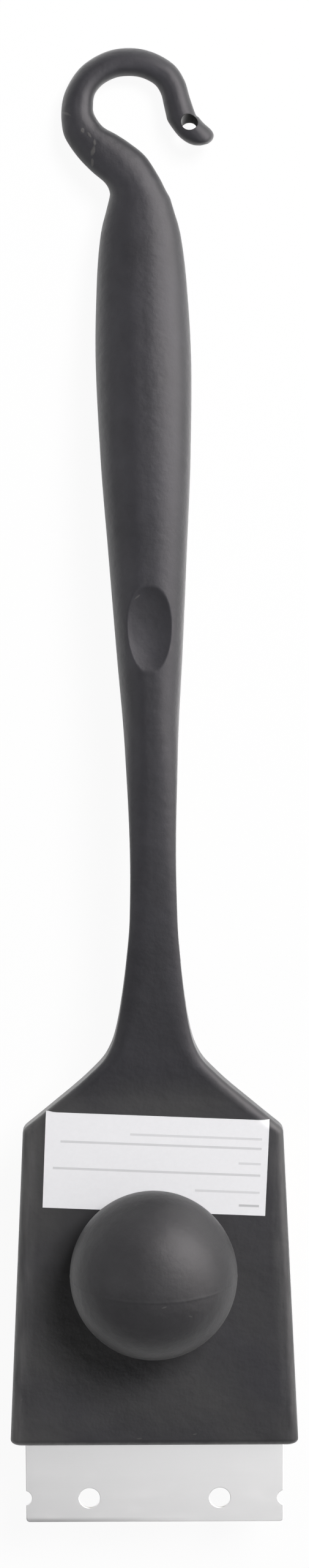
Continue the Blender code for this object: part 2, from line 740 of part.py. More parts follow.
def make_block(parts, cutters):
    """The block, with a bed for the blade, a well for the knob's screw and grooves for the rows."""

    def slab(bm):
        a = block_half_width(HEAD_FRONT_Y)
        b = block_half_width(BLOCK_REAR_Y)
        add_prism(
            bm,
            [(-a, BLOCK_FRONT_Y), (a, BLOCK_FRONT_Y), (b, BLOCK_REAR_Y), (-b, BLOCK_REAR_Y)],
            BLOCK_UNDER_Z,
            BLOCK_TOP_Z,
        )
        upright = [e for e in bm.edges if abs(e.verts[0].co.z - e.verts[1].co.z) > GAP]
        bmesh.ops.bevel(
            bm,
            geom=upright,
            offset=BLOCK_CORNER,
            offset_type="OFFSET",
            segments=4,
            profile=0.5,
            affect="EDGES",
            material=-1,
        )

    block = object_from(slab, "brush_block", parts)

    def blade_bed(bm):
        wide = BLOCK_FRONT_WIDTH
        rear = BLADE_REAR_Y + 2 * GAP
        front = BLOCK_FRONT_Y - GAP
        outline = [(-wide, front), (wide, front), (wide, rear), (-wide, rear)]
        add_prism(bm, outline, BLOCK_BED_Z, BLOCK_TOP_Z + GAP)

    cut(block, object_from(blade_bed, "blade_bed_cutter", cutters))

    def wells(bm):
        low = BLOCK_TOP_Z - GAP - WASHER_THICKNESS - STUD_HEAD_DEPTH - WELL_CLEARANCE
        add_disc(bm, 0, KNOB_Y, low, BLOCK_TOP_Z + OVERRUN, WASHER_RADIUS + WELL_CLEARANCE, 20)

    cut(block, object_from(wells, "knob_well_cutter", cutters))

    def screw_steps(bm):
        for x, y in screw_places():
            add_disc(bm, x, y, BLOCK_UNDER_Z - OVERRUN, BLOCK_UNDER_Z + SCREW_SINK, SCREW_HEAD + GAP)

    def screw_holes(bm):
        for x, y in screw_places():
            add_disc(bm, x, y, BLOCK_UNDER_Z + SCREW_SINK / 2, BLOCK_TOP_Z + OVERRUN, SCREW_SHANK + GAP)

    cut(block, object_from(screw_steps, "screw_sink_cutter", cutters))
    cut(block, object_from(screw_holes, "block_hole_cutter", cutters))

    def grooves(bm):
        for y, tufts in row_places():
            low = BLOCK_UNDER_Z - OVERRUN
            add_prism(bm, strip_outline(y, tufts, GAP), low, BLOCK_UNDER_Z + STRIP_DEPTH + GAP)

    cut(block, object_from(grooves, "row_groove_cutter", cutters))
    return block


def add_strand(bm, x, y, turn):
    """One straight strand of a tuft, leaning outwards from its root to its tip on the floor."""
    side = Vector((math.cos(turn), math.sin(turn)))
    top = BLOCK_UNDER_Z + STRIP_DEPTH / 2
    made = bmesh.ops.create_cone(
        bm,
        cap_ends=True,
        segments=3,
        radius1=STRAND_RADIUS,
        radius2=STRAND_RADIUS,
        depth=top,
    )
    for vert in made["verts"]:
        spread = TUFT_SPREAD + (TIP_SPREAD if vert.co.z < 0 else 0.0)
        vert.co += Vector((x + side.x * spread, y + side.y * spread, top / 2))


def make_bristle_row(number, y, tufts, parts, cutters):
    """One row of wire tufts standing in a slice of the block."""
    name = "bristle_row_%02d" % number

    def strip(bm):
        add_prism(bm, strip_outline(y, tufts), BLOCK_UNDER_Z, BLOCK_UNDER_Z + STRIP_DEPTH)

    def strands(bm):
        for x in tufts:
            for k in range(TUFT_STRANDS):
                add_strand(bm, x, y, math.tau * (k + 0.5) / TUFT_STRANDS)

    made = object_from(strip, name, parts)
    fuse(made, object_from(strands, name + "_wires", cutters))
    return made


def make_block_screw(number, x, y, parts, cutters):
    """A pan head screw, driven upwards through the block."""
    name = "block_screw_%d" % number
    head = BLOCK_UNDER_Z + SCREW_SINK - GAP
    end = HEAD_UNDER_Z + SCREW_GRIP - GAP
    low = head - SCREW_HEAD_DEPTH
    profile = [
        (0.0, end),
        (SCREW_SHANK, end - SCREW_POINT),
        (SCREW_SHANK, head),
        (SCREW_HEAD, head),
        (SCREW_HEAD, low + SCREW_HEAD_ROUND),
        (SCREW_HEAD - SCREW_HEAD_ROUND, low),
        (0.0, low),
    ]
    made = turned(name, profile, (x, y, 0), SMALL_STEPS, parts)
    return cross_recess(made, x, y, low, SCREW_HEAD / 2, SCREW_RECESS, cutters)


def cross_recess(made, x, y, low, reach, deep, cutters):
    """Cuts a crossed driver recess into the underside of a screw head."""

    def cross(bm):
        arm = reach / 4
        outline = []
        for k in range(4):
            turn = Matrix.Rotation(math.pi / 2 * k, 2)
            for corner in ((arm, -reach), (arm, -arm), (reach, -arm)):
                outline.append(Vector((x, y)) + turn @ Vector(corner))
        add_prism(bm, outline, low - GAP, low + deep)

    cut(made, object_from(cross, made.name + "_recess", cutters))
    return made


def make_knob(parts):
    """The ball with its flat seat and the blind hole for the insert."""
    seat = HEAD_TOP_Z + GAP
    centre = seat + math.sqrt(KNOB_RADIUS ** 2 - KNOB_BASE_RADIUS ** 2)
    hole = seat + INSERT_LENGTH + KNOB_HOLE_SPARE
    profile = []
    last = math.degrees(math.acos(KNOB_BASE_RADIUS / KNOB_RADIUS))
    steps = 13
    for k in range(steps + 1):
        angle = math.radians(90 - (90 + last) * k / steps)
        profile.append((KNOB_RADIUS * math.cos(angle), centre + KNOB_RADIUS * math.sin(angle)))
    profile[0] = (0.0, centre + KNOB_RADIUS)
    bore = INSERT_RADIUS + GAP
    profile += [(bore, seat), (bore, hole), (0.0, hole)]
    return turned("ball_knob", profile, (0, KNOB_Y, 0), ROUND_STEPS, parts)


def make_knob_insert(parts):
    low = HEAD_TOP_Z + 2 * GAP
    high = low + INSERT_LENGTH
    inner = STUD_RADIUS + GAP
    waist = INSERT_RADIUS - INSERT_GROOVE
    profile = [
        (inner, high),
        (INSERT_RADIUS, high),
        (INSERT_RADIUS, high - INSERT_LENGTH * 0.40),
        (waist, high - INSERT_LENGTH * 0.44),
        (waist, high - INSERT_LENGTH * 0.56),
        (INSERT_RADIUS, high - INSERT_LENGTH * 0.60),
        (INSERT_RADIUS, low),
        (inner, low),
    ]
    return turned("knob_insert", profile, (0, KNOB_Y, 0), 16, parts)


def make_knob_washer(parts):
    high = HEAD_UNDER_Z - GAP
    low = high - WASHER_THICKNESS
    inner = STUD_RADIUS + GAP
    profile = [(inner, high), (WASHER_RADIUS, high), (WASHER_RADIUS, low), (inner, low)]
    return turned("knob_washer", profile, (0, KNOB_Y, 0), 20, parts)


def make_knob_screw(parts, cutters):
    head = HEAD_UNDER_Z - 2 * GAP - WASHER_THICKNESS
    low = head - STUD_HEAD_DEPTH
    end = HEAD_TOP_Z + INSERT_LENGTH + GAP
    profile = [
        (0.0, end),
        (STUD_RADIUS - STUD_CHAMFER, end),
        (STUD_RADIUS, end - STUD_CHAMFER),
        (STUD_RADIUS, head),
        (STUD_HEAD_RADIUS, head),
        (STUD_HEAD_RADIUS, low + STUD_HEAD_ROUND),
        (STUD_HEAD_RADIUS - STUD_HEAD_ROUND, low),
        (0.0, low),
    ]
    made = turned("knob_screw", profile, (0, KNOB_Y, 0), SMALL_STEPS, parts)
    return cross_recess(made, 0, KNOB_Y, low, STUD_HEAD_RADIUS / 2, STUD_RECESS, cutters)


def make_label(parts):
    def sheet(bm):
        x = LABEL_LENGTH / 2
        y = LABEL_HEIGHT / 2
        low = HEAD_TOP_Z + LABEL_GAP
        turn = Matrix.Rotation(LABEL_TURN, 2)
        outline = []
        for corner in ((-x, -y), (x, -y), (x, y), (-x, y)):
            point = turn @ Vector(corner)
            outline.append((LABEL_X + point.x, LABEL_Y + point.y))
        add_prism(bm, outline, low, low + LABEL_THICKNESS)

    return object_from(sheet, "label", parts)


def material(name, colour, metallic, roughness):
    made = bpy.data.materials.new(name)
    made.use_nodes = True
    shader = made.node_tree.nodes["Principled BSDF"]
    shader.inputs["Base Color"].default_value = (*colour, 1.0)
    shader.inputs["Metallic"].default_value = metallic
    shader.inputs["Roughness"].default_value = roughness
    return made


def main():
    for old in list(bpy.data.objects):
        bpy.data.objects.remove(old)
    parts = bpy.data.collections.new("grill_brush")
    cutters = bpy.data.collections.new("cutters")
    for group in (parts, cutters):
        bpy.context.scene.collection.children.link(group)

    black = ((0.030, 0.031, 0.033), 0.0, 0.48)
    steel = ((0.62, 0.62, 0.61), 1.0, 0.32)
    wire = ((0.66, 0.50, 0.30), 1.0, 0.38)
    brass = ((0.72, 0.55, 0.28), 1.0, 0.35)
    paper = ((0.84, 0.84, 0.85), 0.0, 0.75)

    pieces = [
        (make_handle_body(parts, cutters), black),
        (make_blade(parts), steel),
        (make_block(parts, cutters), black),
        (make_knob(parts), black),
        (make_knob_insert(parts), brass),
        (make_knob_screw(parts, cutters), steel),
        (make_knob_washer(parts), steel),
        (make_label(parts), paper),
    ]
    for number, (x, y) in enumerate(screw_places(), 1):
        pieces.append((make_block_screw(number, x, y, parts, cutters), steel))
    for number, (y, tufts) in enumerate(row_places(), 1):
        pieces.append((make_bristle_row(number, y, tufts, parts, cutters), wire))
    for piece, (colour, metallic, roughness) in pieces:
        piece.data.materials.append(material(piece.name + "_finish", colour, metallic, roughness))


main()
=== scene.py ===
"""A grill brush on a pale floor: moulded handle, ball knob, bristle block, scraper blade and label.

Metres. +Z is up, +Y runs from the scraper towards the hanging hook, +X is to the right seen from above.
Every piece is built where it belongs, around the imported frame, and its object stays at the origin.
"""

import math
import random

import bmesh
import bpy
from mathutils import Matrix, Vector


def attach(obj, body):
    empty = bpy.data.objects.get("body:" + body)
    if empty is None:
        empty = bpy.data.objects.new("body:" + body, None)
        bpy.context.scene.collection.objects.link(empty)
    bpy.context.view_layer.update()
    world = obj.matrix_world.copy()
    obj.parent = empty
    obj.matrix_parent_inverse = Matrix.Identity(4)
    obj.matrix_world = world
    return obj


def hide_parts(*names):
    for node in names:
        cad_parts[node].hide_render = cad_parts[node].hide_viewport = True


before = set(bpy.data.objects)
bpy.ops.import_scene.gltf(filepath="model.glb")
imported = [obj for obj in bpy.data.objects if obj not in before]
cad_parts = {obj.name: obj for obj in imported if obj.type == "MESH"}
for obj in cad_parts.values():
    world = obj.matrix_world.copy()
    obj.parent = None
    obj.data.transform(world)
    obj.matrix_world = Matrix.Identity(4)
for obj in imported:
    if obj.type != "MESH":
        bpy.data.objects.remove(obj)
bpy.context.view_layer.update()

BODY = "root"

# Lengths of the three stretches that make up the whole, along Y
BLADE_REACH = 0.0275
HEAD_LENGTH = 0.1017
HANDLE_LENGTH = 0.3208

# Head
HEAD_FRONT_WIDTH = 0.089
HEAD_REAR_WIDTH = 0.0789
HEAD_THICKNESS = 0.0075
HEAD_EDGE_RADIUS = 0.0026
HEAD_UNDER_RADIUS = 0.0014
HEAD_CORNER_RADIUS = 0.002
SHOULDER_BLEND = 0.0014

# Handle
SHOULDER_LENGTH = 0.0818
NECK_WIDTH = 0.0137
NECK_DEPTH = 0.0152
GRIP_START = 0.148
GRIP_WIDTH = 0.0284
GRIP_DEPTH = 0.0246
GRIP_RISE = 0.0022
GRIP_RISE_LEAD = 0.009
GRIP_RISE_LENGTH = 0.055
ARCH_START = 0.0105
ARCH_SOFTENING = 0.003
ARCH_LENGTH = 0.218
NECK_PITCH = 0.14
FOOT_FLAT = 0.0016
HANDLE_LEAN = 0.00275
THUMB_START = 0.0698
THUMB_LENGTH = 0.0256
THUMB_WIDTH = 0.0127
THUMB_OFFSET = 0.0004
THUMB_DEPTH = 0.0009
THUMB_BOWL = 0.012
THUMB_RIM = 0.00022
THUMB_PATCH = 0.62

# Hanging hook
HOOK_OFFSET = 0.0034
HOOK_INNER_RADIUS = 0.01112
HOOK_BAND = 0.00834
HOOK_DEPTH = 0.0106
HOOK_ROOT_LENGTH = 0.0226
HOOK_ROOT_WIDTH = 0.017
TIP_HOLE_RADIUS = 0.0025

GAP = 0.0003
OVERRUN = 0.002

# Scraper blade
BLADE_WIDTH = 0.0802
BLADE_LENGTH = 0.056
BLADE_THICKNESS = 0.001
BLADE_CORNER = 0.0012
BLADE_HOLE_RADIUS = 0.0032
BLADE_HOLE_X = 0.0203
BLADE_HOLE_INSET = 0.0079
BLADE_EDGE = 0.00024
NOTCH_RADIUS = 0.0024
NOTCH_REACH = 0.0018

# Bristle block
BLOCK_FRONT_WIDTH = 0.082
BLOCK_REAR_WIDTH = 0.076
BLOCK_THICKNESS = 0.0132
BLOCK_LIP = 0.0024
BLOCK_REAR_INSET = 0.0082
BLOCK_CORNER = 0.002
BLOCK_EDGE = 0.0005

# Bristle rows
BRISTLE_LENGTH = 0.025
ROW_PITCH = 0.0095
STRIP_WIDTH = 0.003
STRIP_DEPTH = 0.002
TUFT_PITCH = 0.007
TUFT_WIRES = 26
TUFT_RADIUS = 0.0013
WIRE_RADIUS = 0.00016
WIRE_SPREAD = 0.0014
WIRE_CRIMP = 0.00022
WIRE_BENDS = 7
WIRE_CRIMPS = (2.2, 3.2)
WIRE_FLARE = (0.7, 1.15)
WIRE_UNEVEN = 0.0006
TUFT_LEAN = 0.0005
GOLDEN_ANGLE = 2.39996
SOCKET_RADIUS = 0.0016
SOCKET_DEPTH = 0.0006

# Block screws
SCREW_SHANK = 0.0017
SCREW_POINT = 0.002
SCREW_HEAD = 0.0033
SCREW_HEAD_DEPTH = 0.0022
SCREW_HEAD_ROUND = 0.0008
SCREW_RECESS = 0.0014
RECESS_ARM = (0.58, 0.15)
SCREW_GRIP = 0.005
BOSS_RADIUS = 0.005
REAR_SCREW_X = 0.026
REAR_SCREW_ROWS = 6

# Ball knob
KNOB_START = 0.0384
KNOB_RADIUS = 0.025
KNOB_BASE_RADIUS = 0.0095
KNOB_BOSS_RADIUS = 0.009
KNOB_HOLE_SPARE = 0.004
INSERT_RADIUS = 0.0045
INSERT_LENGTH = 0.013
STUD_RADIUS = 0.0029
STUD_HEAD_DEPTH = 0.0036
WASHER_RADIUS = 0.0064
WASHER_THICKNESS = 0.0012
WELL_CLEARANCE = 0.001
SEAM_HEIGHT = 0.00007
SEAM_WIDTH = 0.00035
KNOB_RINGS = 90
KNOB_SIDES = 128

# Moulding pockets under the head
POCKET_ROOF = 0.0035
POCKET_WALL = 0.0045
POCKET_RIB = 0.003

# Paper label
LABEL_LENGTH = 0.0677
LABEL_HEIGHT = 0.03
LABEL_X = 0.0008
LABEL_CLEARANCE = 0.0027
LABEL_TURN = math.radians(-2.5)
LABEL_THICKNESS = 0.00012
LABEL_GAP = 0.00004
LABEL_INSET = 0.0004
LABEL_GRID = (96, 44)

# Places along Y
BLADE_TIP_Y = -(BLADE_REACH + HEAD_LENGTH + HANDLE_LENGTH) / 2
BLADE_REAR_Y = BLADE_TIP_Y + BLADE_LENGTH
HEAD_FRONT_Y = BLADE_TIP_Y + BLADE_REACH
HEAD_REAR_Y = HEAD_FRONT_Y + HEAD_LENGTH
BLOCK_FRONT_Y = HEAD_FRONT_Y - BLOCK_LIP
BLOCK_REAR_Y = HEAD_REAR_Y - BLOCK_REAR_INSET
FRONT_SCREW_Y = BLADE_REAR_Y - BLADE_HOLE_INSET
REAR_SCREW_Y = FRONT_SCREW_Y + REAR_SCREW_ROWS * ROW_PITCH
KNOB_Y = HEAD_REAR_Y - KNOB_START
KNOB_PLACE = ((0, KNOB_Y),)
BLADE_HOLES_Y = (BLADE_TIP_Y + BLADE_HOLE_INSET, BLADE_REAR_Y - BLADE_HOLE_INSET)
LABEL_Y = KNOB_Y + KNOB_BASE_RADIUS + LABEL_CLEARANCE + LABEL_HEIGHT / 2
NECK_Y = HEAD_REAR_Y + SHOULDER_LENGTH
ARCH_START_Y = HEAD_REAR_Y + ARCH_START
THUMB_Y = NECK_Y + THUMB_START
GRIP_Y = NECK_Y + GRIP_START
HOOK_RADIUS = HOOK_INNER_RADIUS + HOOK_BAND
HOOK_CENTRE_Y = HEAD_REAR_Y + HANDLE_LENGTH - HOOK_RADIUS
HOOK_ROOT_Y = HOOK_CENTRE_Y - HOOK_ROOT_LENGTH
HOOK_END_Y = HOOK_CENTRE_Y + HOOK_RADIUS
TAIL_LENGTH = HOOK_ROOT_Y - GRIP_Y

# Heights
BLOCK_UNDER_Z = BRISTLE_LENGTH
BLOCK_TOP_Z = BLOCK_UNDER_Z + BLOCK_THICKNESS
HEAD_UNDER_Z = BLOCK_TOP_Z + GAP
HEAD_TOP_Z = HEAD_UNDER_Z + HEAD_THICKNESS
BLADE_TOP_Z = HEAD_UNDER_Z - GAP
BLADE_UNDER_Z = BLADE_TOP_Z - BLADE_THICKNESS
BLOCK_BED_Z = BLADE_UNDER_Z - GAP
ARCH_DROP = HEAD_TOP_Z - HOOK_DEPTH + FOOT_FLAT
ARCH_REST = HOOK_END_Y - ARCH_START_Y - ARCH_LENGTH / 2
TAIL_PITCH = (ARCH_DROP + NECK_PITCH * ARCH_LENGTH / 2) / ARCH_REST
SCREW_SINK = SCREW_HEAD_DEPTH + STRIP_DEPTH + 3 * GAP
KNOB_SEAT_Z = HEAD_TOP_Z + GAP
KNOB_CENTRE_Z = KNOB_SEAT_Z + math.sqrt(KNOB_RADIUS ** 2 - KNOB_BASE_RADIUS ** 2)

# Shoulders: share of their length, and of the way from the neck's half width to the head's
SHOULDER_SHAPE = (
    (-0.0858, 1.235), (0.076, 0.735), (0.196, 0.39), (0.269, 0.227), (0.342, 0.15),
    (0.489, 0.082), (0.636, 0.039), (0.782, 0.01),
)
# Grip: share of its length, and of the way from the neck's half width to the grip's
GRIP_SHAPE = ((0.0, 0.0), (0.223, 0.136), (0.421, 0.401), (0.617, 0.652), (0.812, 0.892), (1.0, 1.0))
# Tail: share of its length, and of the way from the grip's half width to the hook's, then its last cuts
TAIL_SHAPE = ((0.459, 0.15), (0.753, 0.424), (0.9, 0.767), (1.0, 1.0))
TAIL_CUTS = (0.869, 0.951)

# Lean: share of the way from the head to the hook's root, and of the offset to the left
LEAN_SHAPE = (
    (0.0, 0.0), (0.144, -0.087), (0.236, -0.16), (0.33, -0.11), (0.488, 0.098), (0.703, 0.455),
    (1.0, 1.0),
)

# Depth: the same shares along, and shares of the way to the next stretch's depth
SHOULDER_SINK = ((-0.027, 0.0), (0.156, 0.182), (0.438, 0.714), (1.0, 1.0))
GRIP_SWELL = ((0.473, 0.477), (1.0, 1.0))
TAIL_SWELL = ((0.531, 0.246), (0.898, 0.703), (1.143, 0.943), (1.388, 1.0))

# Width of the upper edge's rounding, before a limit, by share of the shoulders' length
EDGE_GROWTH = ((0.218, 0.0034), (0.413, 0.005), (0.523, 0.0062), (0.7, 0.01), (0.85, 0.02))

# Depth of that rounding, before a limit, by the same share
EDGE_SINK = (
    (0.2, 0.0026), (0.45, 0.002), (0.6, 0.0019), (0.9, 0.0024), (1.25, 0.0042), (1.55, 0.009),
    (1.75, 0.02),
)

# Hook, in hook radii from its centre. Root: left and right edge, and share of the grip's depth left.
# Ring: angle, outer and inner radius. Tip: outer and inner edge, and how far the top has sunk.
HOOK_ROOT = (
    ((-0.283, -1.169), (0.568, -1.136), 0.1),
    ((-0.357, -1.03), (0.462, -0.93), 0.066),
    ((-0.552, -0.865), (0.265, -0.634), 0.03),
    ((-0.748, -0.665), (0.028, -0.439), 0.014),
    ((-0.907, -0.449), (-0.177, -0.305), 0.004),
    ((-0.99, -0.27), (-0.385, -0.185), 0.0),
)
HOOK_RING = (
    (180, 1.019, 0.515), (165, 1.02, 0.55), (150, 1.012, 0.586), (135, 1.012, 0.593),
    (120, 1.002, 0.586), (105, 1.001, 0.582), (90, 1.0, 0.577), (75, 1.006, 0.586),
    (60, 1.014, 0.597), (45, 1.027, 0.608), (30, 1.005, 0.59), (15, 0.979, 0.566), (0, 1.033, 0.58),
)
HOOK_TIP = (
    ((1.079, -0.05), (0.604, -0.095), 0.0),
    ((1.156, -0.138), (0.671, -0.202), 0.0),
    ((1.268, -0.239), (0.773, -0.331), 0.01),
    ((1.311, -0.321), (0.885, -0.42), 0.03),
    ((1.285, -0.4), (1.0, -0.468), 0.07),
    ((1.222, -0.447), (1.1, -0.475), 0.15),
)
TIP_HOLE = (0.938, -0.187)

SIDE_LIMIT = 0.92
EDGE_LIMIT = 0.46

# Fineness of the moulding
ARC_STEPS = 14
FRONT_STEPS = 20
HOOK_STEPS = 5
SHARP_ANGLE = math.radians(32)


def curve_through(knots):
    """A smooth curve through the knots that never overshoots them."""
    xs = [k[0] for k in knots]
    ys = [k[1] for k in knots]
    steps = [b - a for a, b in zip(xs, xs[1:])]
    rises = [(b - a) / step for a, b, step in zip(ys, ys[1:], steps)]
    slopes = [rises[0]]
    for i in range(1, len(xs) - 1):
        slope = 0.0
        if rises[i - 1] * rises[i] > 0:
            near = 2 * steps[i] + steps[i - 1]
            far = steps[i] + 2 * steps[i - 1]
            slope = (near + far) / (near / rises[i - 1] + far / rises[i])
        slopes.append(slope)
    slopes.append(rises[-1])

    def value(at):
        if at <= xs[0]:
            return ys[0]
        if at >= xs[-1]:
            return ys[-1]
        i = max(k for k in range(len(xs) - 1) if xs[k] <= at)
        t = (at - xs[i]) / steps[i]
        return (
            ys[i] * (1 + 2 * t) * (1 - t) ** 2
            + steps[i] * slopes[i] * t * (1 - t) ** 2
            + ys[i + 1] * t * t * (3 - 2 * t)
            - steps[i] * slopes[i + 1] * t * t * (1 - t)
        )

    return value


def stretch(shape, start, length, low, high):
    """Knots of one stretch of the handle."""
    return [(start + along * length, low + share * (high - low)) for along, share in shape]


def edge_curve(shape):
    """A radius that grows from the head's over the shoulders."""
    knots = [(HEAD_REAR_Y + along * SHOULDER_LENGTH, radius) for along, radius in shape]
    return curve_through([(HEAD_REAR_Y, HEAD_EDGE_RADIUS)] + knots)


outline_at = curve_through(
    stretch(SHOULDER_SHAPE, HEAD_REAR_Y, SHOULDER_LENGTH, NECK_WIDTH / 2, HEAD_REAR_WIDTH / 2)
    + stretch(GRIP_SHAPE, NECK_Y, GRIP_START, NECK_WIDTH / 2, GRIP_WIDTH / 2)
    + stretch(TAIL_SHAPE, GRIP_Y, TAIL_LENGTH, GRIP_WIDTH / 2, HOOK_ROOT_WIDTH / 2)
)
depth_at = curve_through(
    stretch(SHOULDER_SINK, HEAD_REAR_Y, SHOULDER_LENGTH, HEAD_THICKNESS, NECK_DEPTH)
    + stretch(GRIP_SWELL, NECK_Y, GRIP_START, NECK_DEPTH, GRIP_DEPTH)
    + stretch(TAIL_SWELL, GRIP_Y, TAIL_LENGTH, GRIP_DEPTH, HOOK_DEPTH)
)
edge_at = edge_curve(EDGE_GROWTH)
sink_at = edge_curve(EDGE_SINK)
lean_at = curve_through(stretch(LEAN_SHAPE, HEAD_REAR_Y, HOOK_ROOT_Y - HEAD_REAR_Y, 0.0, -HANDLE_LEAN))


def head_half_width(y):
    share = (y - HEAD_REAR_Y) / (HEAD_FRONT_Y - HEAD_REAR_Y)
    return (HEAD_REAR_WIDTH + share * (HEAD_FRONT_WIDTH - HEAD_REAR_WIDTH)) / 2


def half_width(y):
    """Half width of head, shoulders and grip."""
    head = head_half_width(y)
    if y < HEAD_REAR_Y - 2 * HEAD_CORNER_RADIUS:
        return head
    shoulder = outline_at(y)
    mix = max(0.0, min(1.0, 0.5 + (shoulder - head) / (2 * SHOULDER_BLEND)))
    return shoulder * (1 - mix) + head * mix - SHOULDER_BLEND * mix * (1 - mix)


def arch_reach(y):
    """Distance past the start of the neck's climb, eased in."""
    reach = y - ARCH_START_Y
    flat = ARCH_START_Y - HEAD_REAR_Y
    start = (math.hypot(flat, ARCH_SOFTENING) - flat) / 2
    return max(0.0, (reach + math.hypot(reach, ARCH_SOFTENING)) / 2 - start)


def top_at(y):
    """Height of the top: level over the head, up the neck, then down to the hook."""
    reach = arch_reach(y)
    bent = min(reach, ARCH_LENGTH)
    bend = (NECK_PITCH + TAIL_PITCH) * bent * bent / (2 * ARCH_LENGTH)
    along = (y - GRIP_Y + GRIP_RISE_LEAD) / GRIP_RISE_LENGTH
    rise = GRIP_RISE * math.exp(-along * along)
    return HEAD_TOP_Z + NECK_PITCH * bent - bend - TAIL_PITCH * (reach - bent) + rise


def arch_slope(y):
    return NECK_PITCH - (NECK_PITCH + TAIL_PITCH) * min(arch_reach(y) / ARCH_LENGTH, 1.0)


def hook_point(place):
    """A point given in hook radii from the hook's centre."""
    centre = Vector((lean_at(HOOK_ROOT_Y) - HOOK_OFFSET, HOOK_CENTRE_Y))
    return centre + Vector(place) * HOOK_RADIUS


def rounded_section(half, depth, top, low):
    """One cut through the moulding as (across, height) pairs. top and low are its edges' radii."""
    corners = ((1, top, 0), (-1, top, 1), (-1, low, 2), (1, low, 3))
    points = []
    for side, (radius, radius_z), quarter in corners:
        for k in range(ARC_STEPS + 1):
            angle = math.pi / 2 * (quarter + k / ARC_STEPS)
            across = side * (half - radius) + radius * math.cos(angle)
            centre = -radius_z if quarter < 2 else radius_z - depth
            points.append((across, centre + radius_z * math.sin(angle)))
    return points


def station(left, right, depth, drop=0.0, flare=1.0):
    """One ring of the moulding between two outline points."""
    middle = (left + right) / 2
    half = (right - left).length / 2
    across = (right - left).normalized()
    body = depth - drop
    radius = edge_at(middle.y)
    under = HEAD_UNDER_RADIUS + max(0.0, radius - HEAD_EDGE_RADIUS)
    limit_x = SIDE_LIMIT * half
    limit_z = EDGE_LIMIT * body
    top = (min(radius * flare, limit_x), min(sink_at(middle.y), limit_z))
    low = (min(under * flare, limit_x), min(under, limit_z))
    ring = []
    for offset, height in rounded_section(half, body, top, low):
        point = middle + across * offset
        z = top_at(point.y) - drop + height
        ring.append(Vector((point.x, point.y, max(z, 0.0))))
    return ring


def edge_flare(y):
    """How much wider an edge is where the outline runs aslant."""
    if y < HEAD_REAR_Y - 2 * HEAD_CORNER_RADIUS:
        return 1.0
    return math.hypot(1, (half_width(y + GAP) - half_width(y - GAP)) / (2 * GAP))


def ends_at(y, shrink=0.0):
    """Left and right end of a cut square across the head or the handle."""
    half = half_width(y) - shrink
    x = lean_at(y)
    return Vector((x - half, y)), Vector((x + half, y))


def straight_station(y, shrink=0.0, drop=0.0):
    return station(*ends_at(y, shrink), depth_at(y), drop, edge_flare(y))


def quarter_drop(share):
    """How far a quarter round of radius 1 lies below its top, by share from its side."""
    away = max(0.0, 1 - share)
    return 1 - math.sqrt(1 - away * away)


def front_stations():
    """The front edge and its rounded corners."""
    rings = []
    for k in range(FRONT_STEPS + 1):
        share = 1 - math.cos(math.pi / 2 * k / FRONT_STEPS)
        back = share * HEAD_EDGE_RADIUS
        shrink = HEAD_CORNER_RADIUS * quarter_drop(back / HEAD_CORNER_RADIUS)
        rings.append(straight_station(HEAD_FRONT_Y + back, shrink, HEAD_EDGE_RADIUS * quarter_drop(share)))
    return rings


def steps_between(start, end, spacing):
    count = max(1, round((end - start) / spacing))
    return [start + (end - start) * k / count for k in range(1, count + 1)]


def smooth_between(a, b, c, d, t):
    """Catmull-Rom: from b to c, with a before and d after."""
    return 0.5 * (
        2 * b + (c - a) * t + (2 * a - 5 * b + 4 * c - d) * t * t + (3 * b - a - 3 * c + d) * t ** 3
    )


def hook_stations():
    """The hook, from the grip's end round the ring to the flared tip."""
    keys = []
    for share in TAIL_CUTS:
        y = GRIP_Y + share * TAIL_LENGTH
        keys.append((*ends_at(y), (depth_at(y) - HOOK_DEPTH) / GRIP_DEPTH, 0.0))
    keys += [(hook_point(left), hook_point(right), rest, 0.0) for left, right, rest in HOOK_ROOT]
    for degrees, outer, inner in HOOK_RING:
        ray = Vector((math.cos(math.radians(degrees)), math.sin(math.radians(degrees))))
        keys.append((hook_point(ray * outer), hook_point(ray * inner), 0.0, 0.0))
    keys += [(hook_point(outer), hook_point(inner), 0.0, sunk) for outer, inner, sunk in HOOK_TIP]
    rings = []
    for a, b, c, d in zip(keys, keys[1:], keys[2:], keys[3:] + keys[-1:]):
        for k in range(HOOK_STEPS):
            left, right, rest, sunk = [smooth_between(*four, k / HOOK_STEPS) for four in zip(a, b, c, d)]
            depth = HOOK_DEPTH + max(0.0, rest) * GRIP_DEPTH
            rings.append(station(left, right, depth, max(0.0, sunk) * HOOK_RADIUS))
    left, right, rest, sunk = keys[-1]
    rings.append(station(left, right, HOOK_DEPTH, sunk * HOOK_RADIUS))
    return rings


def handle_stations():
    """All rings of the moulding, from the head's front edge to the hook's tip."""
    rings = front_stations()
    y = HEAD_FRONT_Y + HEAD_EDGE_RADIUS
    corner = 3 * HEAD_CORNER_RADIUS
    for end, spacing in (
        (HEAD_REAR_Y - corner, 0.01),
        (HEAD_REAR_Y + corner, 0.0005),
        (HEAD_REAR_Y + 0.55 * SHOULDER_LENGTH, 0.0012),
        (NECK_Y, 0.003),
        (THUMB_Y - THUMB_LENGTH, 0.004),
        (THUMB_Y + THUMB_LENGTH, 0.0012),
        (GRIP_Y + TAIL_CUTS[1] * TAIL_LENGTH - 0.001, 0.003),
    ):
        rings += [straight_station(at) for at in steps_between(y, end, spacing)]
        y = end
    return rings + hook_stations()


